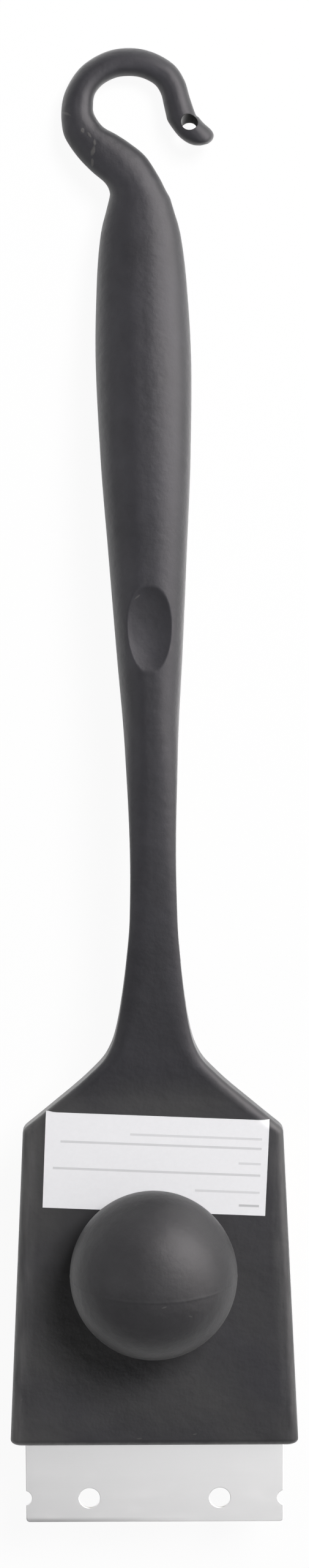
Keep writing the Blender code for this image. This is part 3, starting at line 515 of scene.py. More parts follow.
def top_surface(x, y):
    """Height of the upper skin above a point of head, neck or grip."""
    half = half_width(y)
    radius = edge_at(y)
    wide = min(radius * edge_flare(y), SIDE_LIMIT * half)
    down = min(sink_at(y), EDGE_LIMIT * depth_at(y))
    over = max(0.0, abs(x - lean_at(y)) - (half - wide)) / wide
    return top_at(y) - down * (1 - math.sqrt(max(0.0, 1 - over * over)))


def add_object(name, data):
    """An object of the scene, at the origin."""
    made = bpy.data.objects.new(name, data)
    bpy.context.scene.collection.objects.link(made)
    return made


def mesh_from(name, bm):
    mesh = bpy.data.meshes.new(name)
    bm.to_mesh(mesh)
    bm.free()
    return mesh


def new_piece(name, bm, finish, smooth=True):
    """A shown piece that rides on the body."""
    mesh = mesh_from(name, bm)
    piece = add_object(name, mesh)
    mesh.materials.append(finish)
    if smooth:
        mesh.shade_smooth()
        mesh.set_sharp_from_angle(angle=SHARP_ANGLE)
        even = piece.modifiers.new("even_shading", "WEIGHTED_NORMAL")
        even.keep_sharp = True
    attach(piece, BODY)
    return piece


def carve(bm, *cutters):
    """A new bmesh: the first one with the others cut out."""
    body, *tools = [add_object("carved", mesh_from("carved", part)) for part in (bm, *cutters)]
    for tool in tools:
        boolean = body.modifiers.new("cut", "BOOLEAN")
        boolean.operation = "DIFFERENCE"
        boolean.object = tool
    depsgraph = bpy.context.evaluated_depsgraph_get()
    result = bmesh.new()
    result.from_mesh(body.evaluated_get(depsgraph).to_mesh())
    for old in (body, *tools):
        bpy.data.objects.remove(old)
    return result


def add_rod(bm, place, length, radius, sides):
    """A straight rod with its middle where the matrix puts it."""
    size = {"radius1": radius, "radius2": radius, "depth": length}
    bmesh.ops.create_cone(bm, cap_ends=True, segments=sides, matrix=place, **size)


def plugs(places, low, high, radius, sides=32, bm=None):
    """Upright round plugs at places, in a new bmesh or added to one."""
    bm = bm or bmesh.new()
    for x, y in places:
        add_rod(bm, Matrix.Translation((x, y, (low + high) / 2)), high - low, radius, sides)
    return bm


def climb(edge):
    return abs(edge.verts[0].co.z - edge.verts[1].co.z)


def round_edges(bm, edges, width, steps):
    shape = {"offset_type": "OFFSET", "profile": 0.5, "affect": "EDGES", "material": -1}
    bmesh.ops.bevel(bm, geom=edges, offset=width, segments=steps, **shape)


def add_prism(bm, outline, low, high):
    """An upright prism over an outline."""
    face = bm.faces.new([bm.verts.new((x, y, low)) for x, y in outline])
    raised = bmesh.ops.extrude_face_region(bm, geom=[face])["geom"]
    lifted = [v for v in raised if isinstance(v, bmesh.types.BMVert)]
    bmesh.ops.translate(bm, verts=lifted, vec=(0, 0, high - low))
    bmesh.ops.recalc_face_normals(bm, faces=bm.faces)


def turned(points, axis, steps, join_under, centre):
    """A profile turned once round an axis, then moved to its centre."""
    bm = bmesh.new()
    profile = [bm.verts.new(point) for point in points]
    edges = [bm.edges.new(pair) for pair in zip(profile, profile[1:])]
    around = {"cent": (0, 0, 0), "axis": axis, "angle": math.tau, "steps": steps, "use_merge": True}
    bmesh.ops.spin(bm, geom=profile + edges, **around)
    bmesh.ops.remove_doubles(bm, verts=bm.verts, dist=join_under)
    bmesh.ops.translate(bm, verts=bm.verts, vec=centre)
    bmesh.ops.recalc_face_normals(bm, faces=bm.faces)
    return bm


def skin_over(rings):
    """A closed skin through rings, from a grid laid round them."""
    around = len(rings[0])
    bm = bmesh.new()
    bmesh.ops.create_grid(bm, x_segments=around, y_segments=len(rings) - 1, size=0.5)
    for vert in bm.verts:
        column = round((vert.co.x + 0.5) * around) % around
        row = round((vert.co.y + 0.5) * (len(rings) - 1))
        vert.co = rings[row][column]
    bmesh.ops.remove_doubles(bm, verts=bm.verts, dist=1e-6)
    bmesh.ops.holes_fill(bm, edges=[e for e in bm.edges if e.is_boundary], sides=0)
    bmesh.ops.recalc_face_normals(bm, faces=bm.faces)
    return bm


def screw_places():
    for y, x in ((FRONT_SCREW_Y, BLADE_HOLE_X), (REAR_SCREW_Y, REAR_SCREW_X)):
        yield -x, y
        yield x, y


def block_half_width(y):
    share = (y - BLOCK_REAR_Y) / (HEAD_FRONT_Y - BLOCK_REAR_Y)
    return (BLOCK_REAR_WIDTH + share * (BLOCK_FRONT_WIDTH - BLOCK_REAR_WIDTH)) / 2


def press_thumb_dent(bm):
    """Presses the thumb dent into the grip, on a finer patch of skin."""
    reach = Vector((THUMB_WIDTH, THUMB_LENGTH)) * THUMB_PATCH

    def on_top(y, z):
        return z >= top_at(y) - HEAD_TOP_Z / 4

    def inside(point):
        along = (point.y - THUMB_Y) / reach.y
        across = (point.x - lean_at(point.y) - THUMB_OFFSET) / reach.x
        return along * along + across * across < 1 and on_top(point.y, point.z)

    patch = [f for f in bm.faces if inside(f.calc_center_median())]
    edges = list({e for f in patch for e in f.edges})
    bmesh.ops.subdivide_edges(bm, edges=edges, cuts=3, use_grid_fill=True)
    edge = 1 - (THUMB_WIDTH / (2 * outline_at(THUMB_Y))) ** 2
    sag = EDGE_LIMIT * depth_at(THUMB_Y) * (1 - math.sqrt(edge))
    bowl = THUMB_BOWL + sag
    lift = bowl - sag - THUMB_DEPTH
    wide = (THUMB_WIDTH / 2) / math.sqrt(1 - ((lift + sag) / bowl) ** 2)
    long = (THUMB_LENGTH / 2) / math.sqrt(1 - (lift / bowl) ** 2)
    slope = arch_slope(THUMB_Y)
    for vert in bm.verts:
        x, y, z = vert.co
        along = y - THUMB_Y
        across = x - lean_at(THUMB_Y) - THUMB_OFFSET
        if abs(along) > reach.y * 1.1 or abs(across) > reach.x * 1.1 or not on_top(y, z):
            continue
        surface = top_surface(x, y)
        inside_bowl = 1 - (across / wide) ** 2 - (along / long) ** 2
        if inside_bowl > 0:
            floor = top_at(THUMB_Y) + slope * along + lift - bowl * math.sqrt(inside_bowl)
            mix = max(0.0, min(1.0, 0.5 + (surface - floor) / (2 * THUMB_RIM)))
            surface = surface * (1 - mix) + floor * mix - THUMB_RIM * mix * (1 - mix)
        vert.co.z = surface


def handle_cutters():
    """Pockets, screw holes and the hole in the hook's tip."""
    pockets = bmesh.new()
    front = FRONT_SCREW_Y - BOSS_RADIUS - POCKET_RIB
    rear = BLOCK_REAR_Y - POCKET_WALL
    for side in (-1, 1):
        rib = side * POCKET_RIB / 2
        a, b = [side * (block_half_width(y) - POCKET_WALL) for y in (front, rear)]
        corners = [(rib, front), (a, front), (b, rear), (rib, rear)]
        add_prism(pockets, corners, HEAD_UNDER_Z - OVERRUN, HEAD_TOP_Z - POCKET_ROOF)
    low = HEAD_UNDER_Z - 2 * OVERRUN
    bosses = plugs(screw_places(), low, HEAD_TOP_Z, BOSS_RADIUS)
    plugs(KNOB_PLACE, low, HEAD_TOP_Z, KNOB_BOSS_RADIUS, bm=bosses)
    low = HEAD_UNDER_Z - OVERRUN
    holes = plugs(screw_places(), low, HEAD_UNDER_Z + SCREW_GRIP, SCREW_SHANK + GAP)
    plugs(KNOB_PLACE, low, HEAD_TOP_Z + OVERRUN, STUD_RADIUS + GAP, bm=holes)
    tip = bmesh.new()
    x, y = hook_point(TIP_HOLE)
    middle = Matrix.Translation((x, y, top_at(y) - HOOK_DEPTH / 2))
    tilt = Matrix.Rotation(math.atan(arch_slope(y)), 4, "X")
    add_rod(tip, middle @ tilt, 2 * HOOK_DEPTH, TIP_HOLE_RADIUS, 48)
    return carve(pockets, bosses), holes, tip


def make_handle(finish):
    """Head, neck, grip and hook in one moulding."""
    bm = skin_over(handle_stations())
    press_thumb_dent(bm)
    piece = new_piece("handle_moulding", carve(bm, *handle_cutters()), finish)
    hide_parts("handle_body")


def make_knob(finish):
    """The ball, turned about the axis that its seam runs round, then cut flat and bored."""
    profile = []
    for k in range(KNOB_RINGS + 1):
        share = 2 * k / KNOB_RINGS - 1
        angle = math.pi / 2 * (0.35 * share + 0.65 * share ** 3)
        offset = KNOB_RADIUS * angle
        radius = KNOB_RADIUS - SEAM_HEIGHT + SEAM_HEIGHT * math.exp(-((offset / SEAM_WIDTH) ** 2))
        profile.append((radius * math.cos(angle), radius * math.sin(angle), 0))
    bm = turned(profile, (0, 1, 0), KNOB_SIDES, 2e-6, (0, KNOB_Y, KNOB_CENTRE_Z))
    whole = bm.verts[:] + bm.edges[:] + bm.faces[:]
    seat = {"plane_co": (0, 0, KNOB_SEAT_Z), "plane_no": (0, 0, -1)}
    cut = bmesh.ops.bisect_plane(bm, geom=whole, clear_outer=True, **seat)
    rim = [e for e in cut["geom_cut"] if isinstance(e, bmesh.types.BMEdge)]
    bmesh.ops.holes_fill(bm, edges=rim, sides=0)
    top = KNOB_SEAT_Z + INSERT_LENGTH + KNOB_HOLE_SPARE
    bore = plugs(KNOB_PLACE, KNOB_SEAT_Z - OVERRUN, top, INSERT_RADIUS + GAP, 48)
    piece = new_piece("knob_ball", carve(bm, bore), finish)
    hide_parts("ball_knob")


def arc(x, y, radius, start, sweep, steps):
    """Points of an arc round (x, y), both ends included."""
    angles = [start + sweep * k / steps for k in range(steps + 1)]
    return [(x + radius * math.cos(a), y + radius * math.sin(a)) for a in angles]


def blade_outline():
    """The blade's right side, and the same turned half round for its left."""
    side = BLADE_WIDTH / 2
    inside = side - BLADE_CORNER
    away = NOTCH_RADIUS - NOTCH_REACH
    reach = math.acos(away / NOTCH_RADIUS)
    right = arc(inside, BLADE_TIP_Y + BLADE_CORNER, BLADE_CORNER, -math.pi / 2, math.pi / 2, 10)
    for y in BLADE_HOLES_Y:
        right += arc(side + away, y, NOTCH_RADIUS, math.pi + reach, -2 * reach, 24)
    right += arc(inside, BLADE_REAR_Y - BLADE_CORNER, BLADE_CORNER, 0, math.pi / 2, 10)
    ends = BLADE_TIP_Y + BLADE_REAR_Y
    return right + [(-x, ends - y) for x, y in right]


def make_blade(finish):
    """The spring steel scraper with its punched holes and broken edges."""
    bm = bmesh.new()
    add_prism(bm, blade_outline(), BLADE_UNDER_Z, BLADE_TOP_Z)
    holes = [(x, y) for y in BLADE_HOLES_Y for x in (-BLADE_HOLE_X, BLADE_HOLE_X)]
    punch = plugs(holes, BLADE_UNDER_Z - OVERRUN, BLADE_TOP_Z + OVERRUN, BLADE_HOLE_RADIUS, 56)
    bm = carve(bm, punch)
    bmesh.ops.dissolve_limit(bm, angle_limit=math.radians(1), verts=bm.verts, edges=bm.edges)
    rims = [e for e in bm.edges if len(e.link_faces) == 2 and e.calc_face_angle() > math.radians(60)]
    round_edges(bm, [e for e in rims if climb(e) < GAP], BLADE_EDGE, 3)
    piece = new_piece("blade_sheet", bm, finish)
    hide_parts("scraper_blade")


def row_places():
    """The y and the tuft centres of every bristle row."""
    margin = BLOCK_CORNER + STRIP_WIDTH / 2
    before = int((FRONT_SCREW_Y - BLOCK_FRONT_Y - margin) / ROW_PITCH + 0.5)
    y = FRONT_SCREW_Y + (0.5 - before) * ROW_PITCH
    while y <= BLOCK_REAR_Y - margin:
        gaps = int(2 * (block_half_width(y) - margin) / TUFT_PITCH)
        yield y, [(k - gaps / 2) * TUFT_PITCH for k in range(gaps + 1)]
        y += ROW_PITCH


def make_block(finish):
    """The bristle block with the blade's bed, sunk screw holes and the tufts' sockets."""
    bm = bmesh.new()
    a = block_half_width(HEAD_FRONT_Y)
    b = block_half_width(BLOCK_REAR_Y)
    corners = [(-a, BLOCK_FRONT_Y), (a, BLOCK_FRONT_Y), (b, BLOCK_REAR_Y), (-b, BLOCK_REAR_Y)]
    add_prism(bm, corners, BLOCK_UNDER_Z, BLOCK_TOP_Z)
    round_edges(bm, [e for e in bm.edges if climb(e) > GAP], BLOCK_CORNER, 10)
    round_edges(bm, [e for e in bm.edges if climb(e) < GAP], BLOCK_EDGE, 3)
    bed = bmesh.new()
    wide = BLOCK_FRONT_WIDTH
    front = BLOCK_FRONT_Y - GAP
    rear = BLADE_REAR_Y + 2 * GAP
    corners = [(-wide, front), (wide, front), (wide, rear), (-wide, rear)]
    add_prism(bed, corners, BLOCK_BED_Z, BLOCK_TOP_Z + GAP)
    low = BLOCK_TOP_Z - GAP - WASHER_THICKNESS - STUD_HEAD_DEPTH - WELL_CLEARANCE
    well = plugs(KNOB_PLACE, low, BLOCK_TOP_Z + OVERRUN, WASHER_RADIUS + WELL_CLEARANCE)
    low = BLOCK_UNDER_Z - OVERRUN
    sinks = plugs(screw_places(), low, BLOCK_UNDER_Z + SCREW_SINK, SCREW_HEAD + GAP)
    holes = plugs(screw_places(), BLOCK_UNDER_Z, BLOCK_TOP_Z + OVERRUN, SCREW_SHANK + GAP)
    tufts = [(x, y) for y, row in row_places() for x in row]
    sockets = plugs(tufts, low, BLOCK_UNDER_Z + SOCKET_DEPTH, SOCKET_RADIUS, 20)
    piece = new_piece("block_moulding", carve(bm, bed, well, sinks, holes, sockets), finish)
    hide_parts("brush_block")


def straight_wire():
    """One straight wire of unit length, from the origin down."""
    bm = bmesh.new()
    add_rod(bm, Matrix.Translation((0, 0, -0.5)), 1.0, WIRE_RADIUS, 3)
    bmesh.ops.subdivide_edges(bm, edges=[e for e in bm.edges if climb(e) > 0.5], cuts=WIRE_BENDS)
    return mesh_from("straight_wire", bm)


def add_wire(bm, straight, root, tip, crimps, rng):
    """One thin crimped wire from its socket down to the floor."""
    phase = rng.uniform(0, math.tau)
    turn = rng.uniform(0, math.tau)
    side = Vector((math.cos(turn), math.sin(turn), 0))
    bm.from_mesh(straight)
    bm.verts.ensure_lookup_table()
    for vert in bm.verts[-len(straight.vertices):]:
        share = -vert.co.z
        sway = WIRE_CRIMP * math.sin(phase + crimps * math.tau * share) * min(1.0, 4 * share)
        place = root.lerp(tip, share) + side * sway
        vert.co = Vector((vert.co.x + place.x, vert.co.y + place.y, place.z))


def make_bristle_row(number, y, tufts, straight, finish):
    """One row of tufts of crimped wires that open towards their tips."""
    rng = random.Random(100 + number)
    bm = bmesh.new()
    for x in tufts:
        lean = Vector((rng.uniform(-1, 1), rng.uniform(-1, 1))) * TUFT_LEAN
        for k in range(TUFT_WIRES):
            radius = TUFT_RADIUS * math.sqrt((k + 0.5) / TUFT_WIRES)
            angle = GOLDEN_ANGLE * k
            out = Vector((math.cos(angle), math.sin(angle)))
            spread = radius + WIRE_SPREAD * radius / TUFT_RADIUS * rng.uniform(*WIRE_FLARE)
            root = Vector((x + out.x * radius, y + out.y * radius, BLOCK_UNDER_Z + SOCKET_DEPTH))
            foot = Vector((x, y)) + out * spread + lean
            tip = Vector((foot.x, foot.y, rng.uniform(0.0, WIRE_UNEVEN)))
            add_wire(bm, straight, root, tip, rng.uniform(*WIRE_CRIMPS), rng)
    piece = new_piece("wire_row_%02d" % number, bm, finish, smooth=False)
    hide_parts("bristle_row_%02d" % number)


def make_block_screw(number, x, y, finish):
    """A pan head screw with a crossed recess."""
    head = BLOCK_UNDER_Z + SCREW_SINK - GAP
    end = HEAD_UNDER_Z + SCREW_GRIP - GAP
    low = head - SCREW_HEAD_DEPTH
    outline = [(0, end), (SCREW_SHANK, end - SCREW_POINT), (SCREW_SHANK, head), (SCREW_HEAD, head)]
    inner = SCREW_HEAD - 2 * SCREW_HEAD_ROUND
    for k in range(9):
        angle = math.pi / 2 * k / 8
        down = low + SCREW_HEAD_ROUND * (1 - math.sin(angle))
        outline.append((inner + 2 * SCREW_HEAD_ROUND * math.cos(angle), down))
    outline.append((0, low))
    bm = turned([(r, 0, z) for r, z in outline], (0, 0, 1), 40, 1e-6, (x, y, 0))
    long, wide = [SCREW_HEAD * share for share in RECESS_ARM]
    arms = []
    for half_x, half_y in ((wide, long), (long, wide)):
        arm = bmesh.new()
        corners = [(x + i * half_x, y + j * half_y) for i, j in ((-1, -1), (1, -1), (1, 1), (-1, 1))]
        add_prism(arm, corners, low - GAP, low + SCREW_RECESS)
        arms.append(arm)
    piece = new_piece("pan_screw_%d" % number, carve(bm, *arms), finish)
    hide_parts("block_screw_%d" % number)


def make_label(finish):
    """The paper sticker, pressed down over the rounded edge it reaches."""
    bm = bmesh.new()
    bmesh.ops.create_grid(bm, x_segments=LABEL_GRID[0], y_segments=LABEL_GRID[1], size=0.5)
    plot = bm.loops.layers.uv.new("label")
    for face in bm.faces:
        for loop in face.loops:
            loop[plot].uv = (loop.vert.co.x + 0.5, loop.vert.co.y + 0.5)
    turn = Matrix.Rotation(LABEL_TURN, 2)
    for vert in bm.verts:
        place = turn @ Vector((vert.co.x * LABEL_LENGTH, vert.co.y * LABEL_HEIGHT))
        x = LABEL_X + place.x
        y = LABEL_Y + place.y
        half = half_width(y) - LABEL_INSET
        z = top_surface(max(-half, min(half, x)), y)
        vert.co = Vector((x, y, z + LABEL_GAP + LABEL_THICKNESS))
    bmesh.ops.recalc_face_normals(bm, faces=bm.faces)
    bmesh.ops.solidify(bm, geom=bm.faces[:], thickness=LABEL_THICKNESS)
    piece = new_piece("paper_label", bm, finish)
    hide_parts("label")


def operator(operation):
    """A method of Link for one kind of Math node."""
    return lambda self, other: self.math(operation, self, other)


class Link:
    """A socket of a material's nodes. Arithmetic on it adds Math nodes."""

    def __init__(self, tree, socket):
        self.tree = tree
        self.socket = socket

    def math(self, operation, *values):
        node = self.tree.nodes.new("ShaderNodeMath")
        node.operation = operation
        for place, value in zip(node.inputs, values):
            join(self.tree, place, value)
        return Link(self.tree, node.outputs[0])

    __add__ = operator("ADD")
    __radd__ = operator("ADD")
    __sub__ = operator("SUBTRACT")
    __mul__ = operator("MULTIPLY")
    __rmul__ = operator("MULTIPLY")
    __truediv__ = operator("DIVIDE")
    __pow__ = operator("POWER")

    def __rsub__(self, other):
        return self.math("SUBTRACT", other, self)

    def __abs__(self):
        return self.math("ABSOLUTE", self)

    def over(self, edge):
        """1 where this is over the edge, else 0."""
        return self.math("GREATER_THAN", self, edge)

    def between(self, low, high):
        """0 at low, 1 at high, and a straight climb between."""
        node = self.tree.nodes.new("ShaderNodeMapRange")
        node.clamp = True
        for place, value in zip(node.inputs, (self, low, high, 0.0, 1.0)):
            join(self.tree, place, value)
        return Link(self.tree, node.outputs[0])


def join(tree, place, value):
    """Links a socket or sets a constant."""
    if isinstance(value, Link):
        tree.links.new(value.socket, place)
    else:
        place.default_value = value


class Finish:
    """One material or world under construction."""

    def __init__(self, made):
        made.use_nodes = True
        self.made = made
        self.tree = made.node_tree

    def coordinates(self, kind="Object"):
        return self.link(self.node("ShaderNodeTexCoord"), kind)

    def node(self, kind, **sockets):
        """Adds a node with the values or links of its sockets."""
        node = self.tree.nodes.new(kind)
        for key, value in sockets.items():
            join(self.tree, node.inputs[key], value)
        return node

    def link(self, node, output=0):
        return Link(self.tree, node.outputs[output])

    def split(self, vector):
        """The x, y and z of a vector."""
        node = self.node("ShaderNodeSeparateXYZ", Vector=vector)
        return [self.link(node, place) for place in range(3)]

    def noise(self, scale, detail=2.0, rough=0.5, where=None):
        where = where or self.coordinates()
        node = self.node("ShaderNodeTexNoise", Scale=scale, Detail=detail, Roughness=rough, Vector=where)
        return self.link(node, "Fac")

    def streaks(self, scales, detail, rough, turn=0.0):
        """Noise with a scale for each axis, turned about the upright."""
        angles = (0.0, 0.0, turn)
        node = self.node("ShaderNodeMapping", Vector=self.coordinates(), Scale=scales, Rotation=angles)
        return self.noise(1.0, detail, rough, self.link(node))

    def colours(self, factor, *stops):
        """A colour by its place among stops, each a (place, colour)."""
        node = self.node("ShaderNodeValToRGB", Fac=factor)
        ramp = node.color_ramp
        while len(ramp.elements) < len(stops):
            ramp.elements.new(0.5)
        for element, (place, colour) in zip(ramp.elements, stops):
            element.position = place
            element.color = (*colour, 1.0)
        return self.link(node, "Color")

    def mixed(self, factor, first, second):
        node = self.node("ShaderNodeMix")
        node.data_type = "RGBA"
        join(self.tree, node.inputs["Factor"], factor)
        for place, value in ((node.inputs[6], first), (node.inputs[7], second)):
            join(self.tree, place, value if isinstance(value, Link) else (*value, 1.0))
        return self.link(node, 2)

    def mark(self, x, y, long, wide, turn):
        """A ragged oval spot seen from above: 1 inside, 0 outside."""
        ragged = self.noise(700.0, 3.0, 0.6)
        cos, sin = math.cos(turn), math.sin(turn)
        here_x, here_y, _ = self.split(self.coordinates())
        across = here_x - x
        up = here_y - y
        along = (across * cos + up * sin) / (long / 2)
        aside = (up * cos - across * sin) / (wide / 2)
        away = along * along + aside * aside + (ragged - 0.5) * 2.0
        return 1.0 - away.between(0.3, 1.2)

    def bump(self, height, distance, strength=1.0):
        return self.link(self.node("ShaderNodeBump", Height=height, Distance=distance, Strength=strength))

    def metal(self, colour, rough, lines):
        """Bare metal with fine raised lines."""
        bump = self.bump(lines, 0.00001, 0.5)
        return self.set(Base_Color=colour, Metallic=1.0, Roughness=rough, Normal=bump)

    def set(self, **values):
        """Sets the shader's sockets, underscores standing for spaces."""
        shader = self.tree.nodes["Principled BSDF"]
        for key, value in values.items():
            join(self.tree, shader.inputs[key.replace("_", " ")], value)
        return self.made


# Dust, rub marks, scars, painted light and painted shade on the plastic: their colours, and the scars as
# (x, y, long, wide, turn)
DUST_AND_LIGHT = (0.052, 0.051, 0.051)
SCAR = (0.062, 0.06, 0.06)
RIM_WEAR_AND_REFLECTION = (0.115, 0.113, 0.113)
PAINTED_HOLE_SHADE = (0.012, 0.012, 0.012)
SCARS = (
    (-0.0243, 0.2056, 0.0026, 0.0008, -0.35), (-0.0196, 0.2007, 0.0015, 0.0011, -1.2),
    (-0.0176, 0.1994, 0.0019, 0.0007, -1.0), (-0.016, 0.1972, 0.0019, 0.0007, 1.6),
    (-0.0165, 0.1947, 0.003, 0.0013, 1.3), (-0.0167, 0.1914, 0.0023, 0.0009, 1.6),
    (-0.004, 0.0655, 0.0022, 0.0005, 0.7), (-0.041, -0.182, 0.0012, 0.0006, 0.8),
    (0.0124, -0.1933, 0.0014, 0.0005, 0.3), (-0.0047, -0.1946, 0.0016, 0.0004, 0.1),
)
KNOB_SCUFFS = ((0.003, -0.1357, 0.0016, 0.0005, 0.3), (0.0107, -0.1394, 0.0014, 0.0005, -0.5))

# Where the marks fade, along Y or X: dust with painted light, the rear of the head, its right and left,
# and the rims with their painted reflection
DUST_AND_LIGHT_END = (HEAD_REAR_Y + 0.008, HEAD_REAR_Y + 0.017)
HEAD_BEHIND = (-0.17, -0.14)
RIGHT_FADE = (0.014, 0.03)
LEFT_RISE = (-0.02, -0.034)
FRONT_RIM_BAND = (HEAD_FRONT_Y + 0.002, HEAD_FRONT_Y + 0.0004)
SIDE_RIM_BAND = (-0.006, 0.0)

# Painted shade along the blade's tip, where a ground bevel would be, along Y, and how it grows towards the
# left
TIP_SHADE_SPAN = (BLADE_TIP_Y + 0.0006, BLADE_TIP_Y + 0.0016)
TIP_SHADE_LEFT = (0.013, -0.034)

PLASTIC_SHINE = 0.2
PLASTIC_IOR = 1.49


def new_finish(name):
    return Finish(bpy.data.materials.new(name))


def times(colour, factor):
    return tuple(c * factor for c in colour)


def plastic(name, tone, rough, sheen, wear_and_light=None):
    """Fine-grained black moulding with blotches, rub marks, and any scuffs, dust, painted light and
    painted shade of its own.
    """
    finish = new_finish(name)
    blotch = finish.noise(45.0, 8.0, 0.72)
    grain = finish.noise(2400.0, 3.0, 0.6)
    pits = finish.noise(800.0)
    waves = finish.noise(300.0)
    rub = finish.streaks((420.0, 90.0, 300.0), 4.0, 0.6, 0.5)
    colour = finish.colours(blotch.between(0.3, 0.7), (0.0, times(tone, 0.76)), (1.0, times(tone, 1.24)))
    worn = rub.between(0.62, 0.78) * blotch.between(0.4, 0.6) * 0.2
    height = grain * 0.6 + pits * 0.4 + waves * 4.0
    dull = 0.0
    for share, paint, rise, matt in wear_and_light(finish) if wear_and_light else ():
        colour = finish.mixed(share, colour, paint)
        height = height + share * rise
        dull = share * matt + dull
    colour = finish.mixed(worn, colour, times(tone, 1.9))
    roughness = rough + (blotch - 0.5) * 0.08 + (grain - 0.5) * 0.1 + (pits - 0.5) * 0.08
    finish.set(Base_Color=colour, Roughness=roughness + dull, Normal=finish.bump(height, 0.00005, 0.8))
    finish.set(IOR=PLASTIC_IOR, Specular_IOR_Level=PLASTIC_SHINE)
    return finish.set(Sheen_Weight=sheen, Sheen_Roughness=0.5)


def handle_wear_and_light(finish):
    """Dust with painted light on the head, rims worn and painted with a reflection, scars, and painted
    shade in the tip hole, as (share, colour, height, dullness).
    """
    across, along, _ = finish.split(finish.coordinates())
    head = 1.0 - along.between(*DUST_AND_LIGHT_END)
    cloud = finish.noise(26.0, 3.0, 0.55)
    behind = along.between(*HEAD_BEHIND)
    right_fade = behind * across.between(*RIGHT_FADE) * 0.6
    # Painted light: the head's top is painted lighter than the neck, in dusty blotches, with less of it at
    # the right rear
    yield head * cloud.between(0.3, 0.75) * (1.0 - right_fade), DUST_AND_LIGHT, 0.0, 0.0
    # More of that dust and painted light at the left rear of the head
    left_rise = behind * across.between(*LEFT_RISE)
    yield head * left_rise * cloud.between(0.15, 0.6), DUST_AND_LIGHT, 0.0, 0.0
    # Rub wear and painted reflection: the head's side and front rims are painted much lighter, in streaks
    narrowing = (HEAD_FRONT_WIDTH - HEAD_REAR_WIDTH) / (2 * HEAD_LENGTH)
    side = abs(across) + (along - HEAD_FRONT_Y) * narrowing - HEAD_FRONT_WIDTH / 2
    rim_band = side.between(*SIDE_RIM_BAND) + along.between(*FRONT_RIM_BAND)
    streak = finish.streaks((300.0, 40.0, 300.0), 3.0, 0.6)
    yield head * rim_band * streak.between(0.3, 0.7), RIM_WEAR_AND_REFLECTION, 0.0, 0.0
    for scar in SCARS:
        yield finish.mark(*scar), SCAR, 0.6, 0.05
    # Painted shade: the wall of the hole in the hook's tip is painted near black and made duller
    yield tip_hole_wall(finish), PAINTED_HOLE_SHADE, 0.0, 0.6


def knob_wear(finish):
    for scuff in KNOB_SCUFFS:
        yield finish.mark(*scuff), SCAR, 0.6, 0.0


def tip_hole_wall(finish):
    """1 on the wall of the hole in the hook's tip, else 0."""
    x, y = hook_point(TIP_HOLE)
    slope = arch_slope(y)
    here_x, here_y, here_z = finish.split(finish.coordinates())
    across = here_x - x
    rise = here_z - (top_at(y) - HOOK_DEPTH / 2)
    up = (here_y - y + rise * slope) * math.cos(math.atan(slope))
    away = (across * across + up * up) ** 0.5 / TIP_HOLE_RADIUS
    return 1.0 - away.between(1.02, 1.1)


def brushed_steel(name):
    """Rolled spring steel with fine lines, faint clouds and painted shade along the tip in place of a
    ground bevel.
    """
    finish = new_finish(name)
    lines = finish.streaks((60.0, 5200.0, 900.0), 3.0, 0.7)
    cloud = finish.noise(46.0, 3.0, 0.55)
    smear = finish.streaks((90.0, 240.0, 90.0), 3.0, 0.5, 0.7)
    grain = cloud * 0.6 + lines * 0.4
    colour = finish.colours(grain, (0.25, (0.95, 0.95, 0.955)), (0.75, (0.985, 0.985, 0.99)))
    across, along, _ = finish.split(finish.coordinates())
    # Painted shade: a darker strip along the blade's tip, wider towards the left, where a ground bevel
    # would be
    ground = (1.0 - along.between(*TIP_SHADE_SPAN)) * across.between(*TIP_SHADE_LEFT)
    colour = finish.mixed(ground * (0.7 + cloud * 0.6), colour, (0.58, 0.58, 0.585))
    rough = 0.38 + (lines - 0.5) * 0.1 + smear.between(0.5, 0.75) * 0.06
    return finish.metal(colour, rough, lines)


def turned_metal(name, low, high, rough):
    """Plated or turned small metal parts."""
    finish = new_finish(name)
    rings = finish.streaks((300.0, 300.0, 2200.0), 3.0, 0.6)
    cloud = finish.noise(420.0, 3.0, 0.5)
    colour = finish.colours(cloud * 0.7 + rings * 0.3, (0.3, low), (0.7, high))
    return finish.metal(colour, rough + (rings - 0.5) * 0.15, rings)


def bristle_wire(name):
    """Brass plated wire, darker towards the sockets."""
    finish = new_finish(name)
    height = finish.split(finish.coordinates())[2]
    speckle = finish.noise(1500.0, 2.0, 0.6)
    share = height.between(0.0, BRISTLE_LENGTH) * 0.7 + speckle * 0.3
    brass = ((0.1, (0.8, 0.63, 0.36)), (0.6, (0.68, 0.5, 0.25)), (0.95, (0.38, 0.27, 0.14)))
    colour = finish.colours(share, *brass)
    return finish.set(Base_Color=colour, Metallic=1.0, Roughness=0.28 + speckle * 0.2)


def label_paper(name):
    """White paper with plain grey rules in the place of print."""
    finish = new_finish(name)
    plot = finish.node("ShaderNodeUVMap")
    plot.uv_map = "label"
    across, up, _ = finish.split(finish.link(plot))
    ink = 0.0
    for middle, start, end, weight in LABEL_RULES:
        line = 1.0 - abs(up - middle).over(RULE_HALF)
        ink = ink + line * across.over(start) * (1.0 - across.over(end)) * weight
    fibre = finish.noise(900.0, 4.0, 0.65)
    paper = finish.colours(fibre, (0.3, (0.815, 0.81, 0.83)), (0.7, (0.84, 0.835, 0.855)))
    colour = finish.mixed(ink, paper, (0.36, 0.36, 0.37))
    bump = finish.bump(fibre, 0.00003, 0.4)
    return finish.set(Base_Color=colour, Roughness=0.55 + fibre * 0.1, Normal=bump)


def aimed(turn, height):
    """A direction, turn degrees from +X towards +Y and height degrees up."""
    turn, height = math.radians(turn), math.radians(height)
    return (math.cos(turn) * math.cos(height), math.sin(turn) * math.cos(height), math.sin(height))


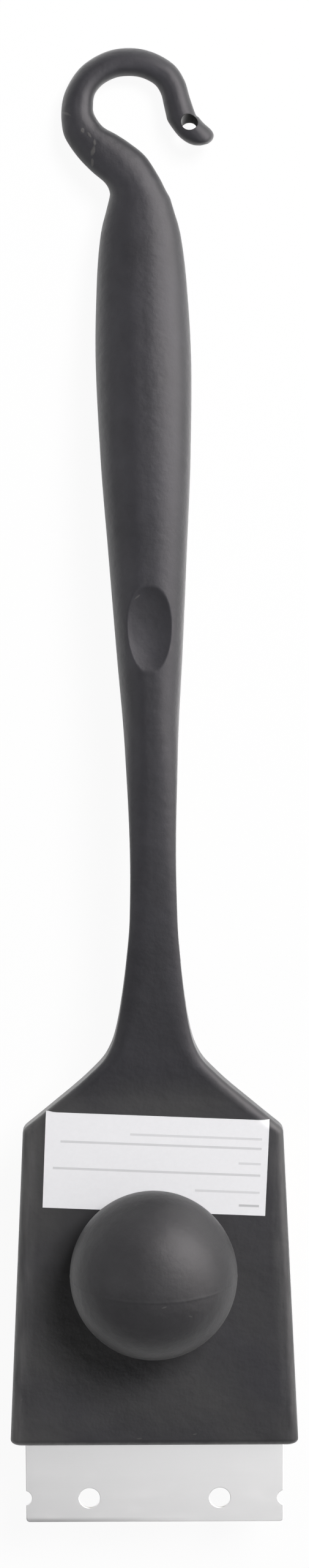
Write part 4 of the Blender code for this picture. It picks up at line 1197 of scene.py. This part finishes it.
# Plain rules on the label as (height, start, end, strength), by share of the label's sides
RULE_HALF = 0.012
LABEL_RULES = (
    (0.8, 0.38, 0.97, 0.35), (0.7, 0.07, 0.97, 0.45), (0.54, 0.87, 0.97, 0.35),
    (0.42, 0.04, 0.97, 0.45), (0.24, 0.68, 0.97, 0.35), (0.1, 0.88, 0.97, 0.7),
)

# Camera, set where the photograph was taken from
CAMERA_DISTANCE = 0.954
CAMERA_TILT = math.radians(10.0)
CAMERA_ROLL = math.radians(-0.25)
CAMERA_TARGET = Vector((0.0009, 0.0088, 0.04))
FILM = 36.0
LENS = 73.4

# Floor and backdrop, whose white band goes by the height of a ray
FLOOR_SIZE = 20.0
FLOOR_WHITE = 0.94
WORLD_LEVEL = 0.11
WHITE_BAND = (0.03, 0.24)

# Lamps as (name, direction, distance, size, level, tint), and a card that lies at the object's right.
# The key lights the surfaces, the others only show in their gloss.
WHITE = (1.0, 1.0, 1.0)
WARM = (1.0, 0.955, 0.945)
LAMPS = (
    ("key", aimed(58, 59), 1.5, (0.44, 0.44), 40.5, WHITE),
    ("side", aimed(26, 29), 1.3, (3.0, 1.50), 4.1, WARM),
    ("window", aimed(38, 23), 1.25, (1.35, 1.10), 5.5, WARM),
    ("top", (0.24, -0.02, 1.0), 1.4, (1.5, 1.14), 1.40, WHITE),
    ("fill", aimed(172, 36), 1.5, (1.5, 1.0), 1.1, WHITE),
)
CARD_PLACE = (0.265, 0.09, 0.002)
CARD_SIZE = (0.47, 0.32)
CARD_LEVEL = 1.2


def make_camera():
    data = bpy.data.cameras.new("camera")
    data.sensor_fit = "VERTICAL"
    data.sensor_height = FILM
    data.sensor_width = FILM
    data.lens = LENS
    data.clip_start = 0.01
    data.clip_end = 50.0
    camera = add_object("camera", data)
    tilt = Matrix.Rotation(-CAMERA_TILT, 4, "X")
    roll = Matrix.Rotation(CAMERA_ROLL, 4, "Z")
    away = tilt @ Matrix.Translation((0, 0, CAMERA_DISTANCE)) @ roll
    camera.matrix_world = Matrix.Translation(CAMERA_TARGET) @ away
    bpy.context.scene.camera = camera


def ray_kinds(finish):
    """1 for a ray from the camera, and 1 for one that a gloss or a glass sends on."""
    path = finish.node("ShaderNodeLightPath")
    gloss = finish.link(path, "Is Glossy Ray") + finish.link(path, "Is Transmission Ray")
    return finish.link(path, "Is Camera Ray"), gloss


def blend_in(finish, share, usual, white, output):
    """Shows the white shader in the place of the usual one, by that share."""
    blend = finish.node("ShaderNodeMixShader")
    for place, value in zip(blend.inputs, (share, finish.link(usual), finish.link(white))):
        join(finish.tree, place, value)
    finish.tree.links.new(blend.outputs[0], finish.tree.nodes[output].inputs["Surface"])


def make_floor():
    """A large pale floor that makes the white ground."""
    bm = bmesh.new()
    bmesh.ops.create_grid(bm, x_segments=1, y_segments=1, size=FLOOR_SIZE)
    mesh = mesh_from("floor", bm)
    floor = add_object("floor", mesh)
    finish = new_finish("floor_white")
    finish.set(Base_Color=(0.86, 0.86, 0.86, 1.0), Roughness=0.9)
    glow = finish.node("ShaderNodeEmission", Color=(*WHITE, 1.0), Strength=1.0)
    seen, gloss = ray_kinds(finish)
    pale = finish.tree.nodes["Principled BSDF"]
    blend_in(finish, (seen + gloss) * FLOOR_WHITE, pale, glow, "Material Output")
    mesh.materials.append(finish.made)


def make_world():
    """Even light, and white to the camera and in low gloss."""
    world = bpy.data.worlds.new("studio")
    finish = Finish(world)
    height = finish.split(finish.coordinates("Generated"))[2]
    low = 1.0 - abs(height).between(*WHITE_BAND)
    seen, gloss = ray_kinds(finish)
    around = finish.tree.nodes["Background"]
    around.inputs["Color"].default_value = (*WHITE, 1.0)
    around.inputs["Strength"].default_value = WORLD_LEVEL
    backdrop = finish.node("ShaderNodeBackground", Color=(*WHITE, 1.0), Strength=1.0)
    blend_in(finish, seen + gloss * low, around, backdrop, "World Output")
    bpy.context.scene.world = world


def make_lamp(name, size, level, tint, lights):
    """A soft panel as bright as a white of that level, for light or for gloss."""
    data = bpy.data.lights.new(name, "AREA")
    data.shape = "RECTANGLE"
    data.size, data.size_y = size
    data.energy = level * math.pi * size[0] * size[1]
    data.color = tint
    lamp = add_object(name, data)
    lamp.visible_camera = False
    lamp.visible_diffuse = lights
    lamp.visible_glossy = not lights
    return lamp


def make_lights():
    for name, direction, distance, size, level, tint in LAMPS:
        lamp = make_lamp(name, size, level, tint, name == "key")
        aim = Vector(direction).normalized()
        lamp.location = CAMERA_TARGET + aim * distance
        lamp.rotation_euler = aim.to_track_quat("Z", "Y").to_euler()
    card = make_lamp("card", CARD_SIZE, CARD_LEVEL, WARM, False)
    card.location = CARD_PLACE
    card.rotation_euler = (math.pi, 0, 0)


def main():
    black = plastic("moulded_black", (0.0276, 0.0268, 0.0312), 0.40, 0.30, handle_wear_and_light)
    knob_black = plastic("knob_black", (0.0330, 0.0322, 0.0346), 0.43, 0.05, knob_wear)
    block_black = plastic("block_black", (0.030, 0.030, 0.031), 0.42, 0.10)
    steel = brushed_steel("blade_steel")
    zinc = turned_metal("screw_zinc", (0.50, 0.50, 0.48), (0.66, 0.66, 0.64), 0.34)
    brass = turned_metal("insert_brass", (0.62, 0.46, 0.20), (0.76, 0.58, 0.30), 0.32)
    wire = bristle_wire("bristle_brass")
    paper = label_paper("label_paper")
    make_handle(black)
    make_knob(knob_black)
    make_blade(steel)
    make_block(block_black)
    make_label(paper)
    straight = straight_wire()
    for number, (y, tufts) in enumerate(row_places(), 1):
        make_bristle_row(number, y, tufts, straight, wire)
    for number, (x, y) in enumerate(screw_places(), 1):
        make_block_screw(number, x, y, zinc)
    for node, finish in (("knob_insert", brass), ("knob_screw", zinc), ("knob_washer", zinc)):
        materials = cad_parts[node].data.materials
        materials.clear()
        materials.append(finish)
    make_camera()
    make_floor()
    make_world()
    make_lights()
    bpy.context.scene.view_settings.view_transform = "Standard"


main()
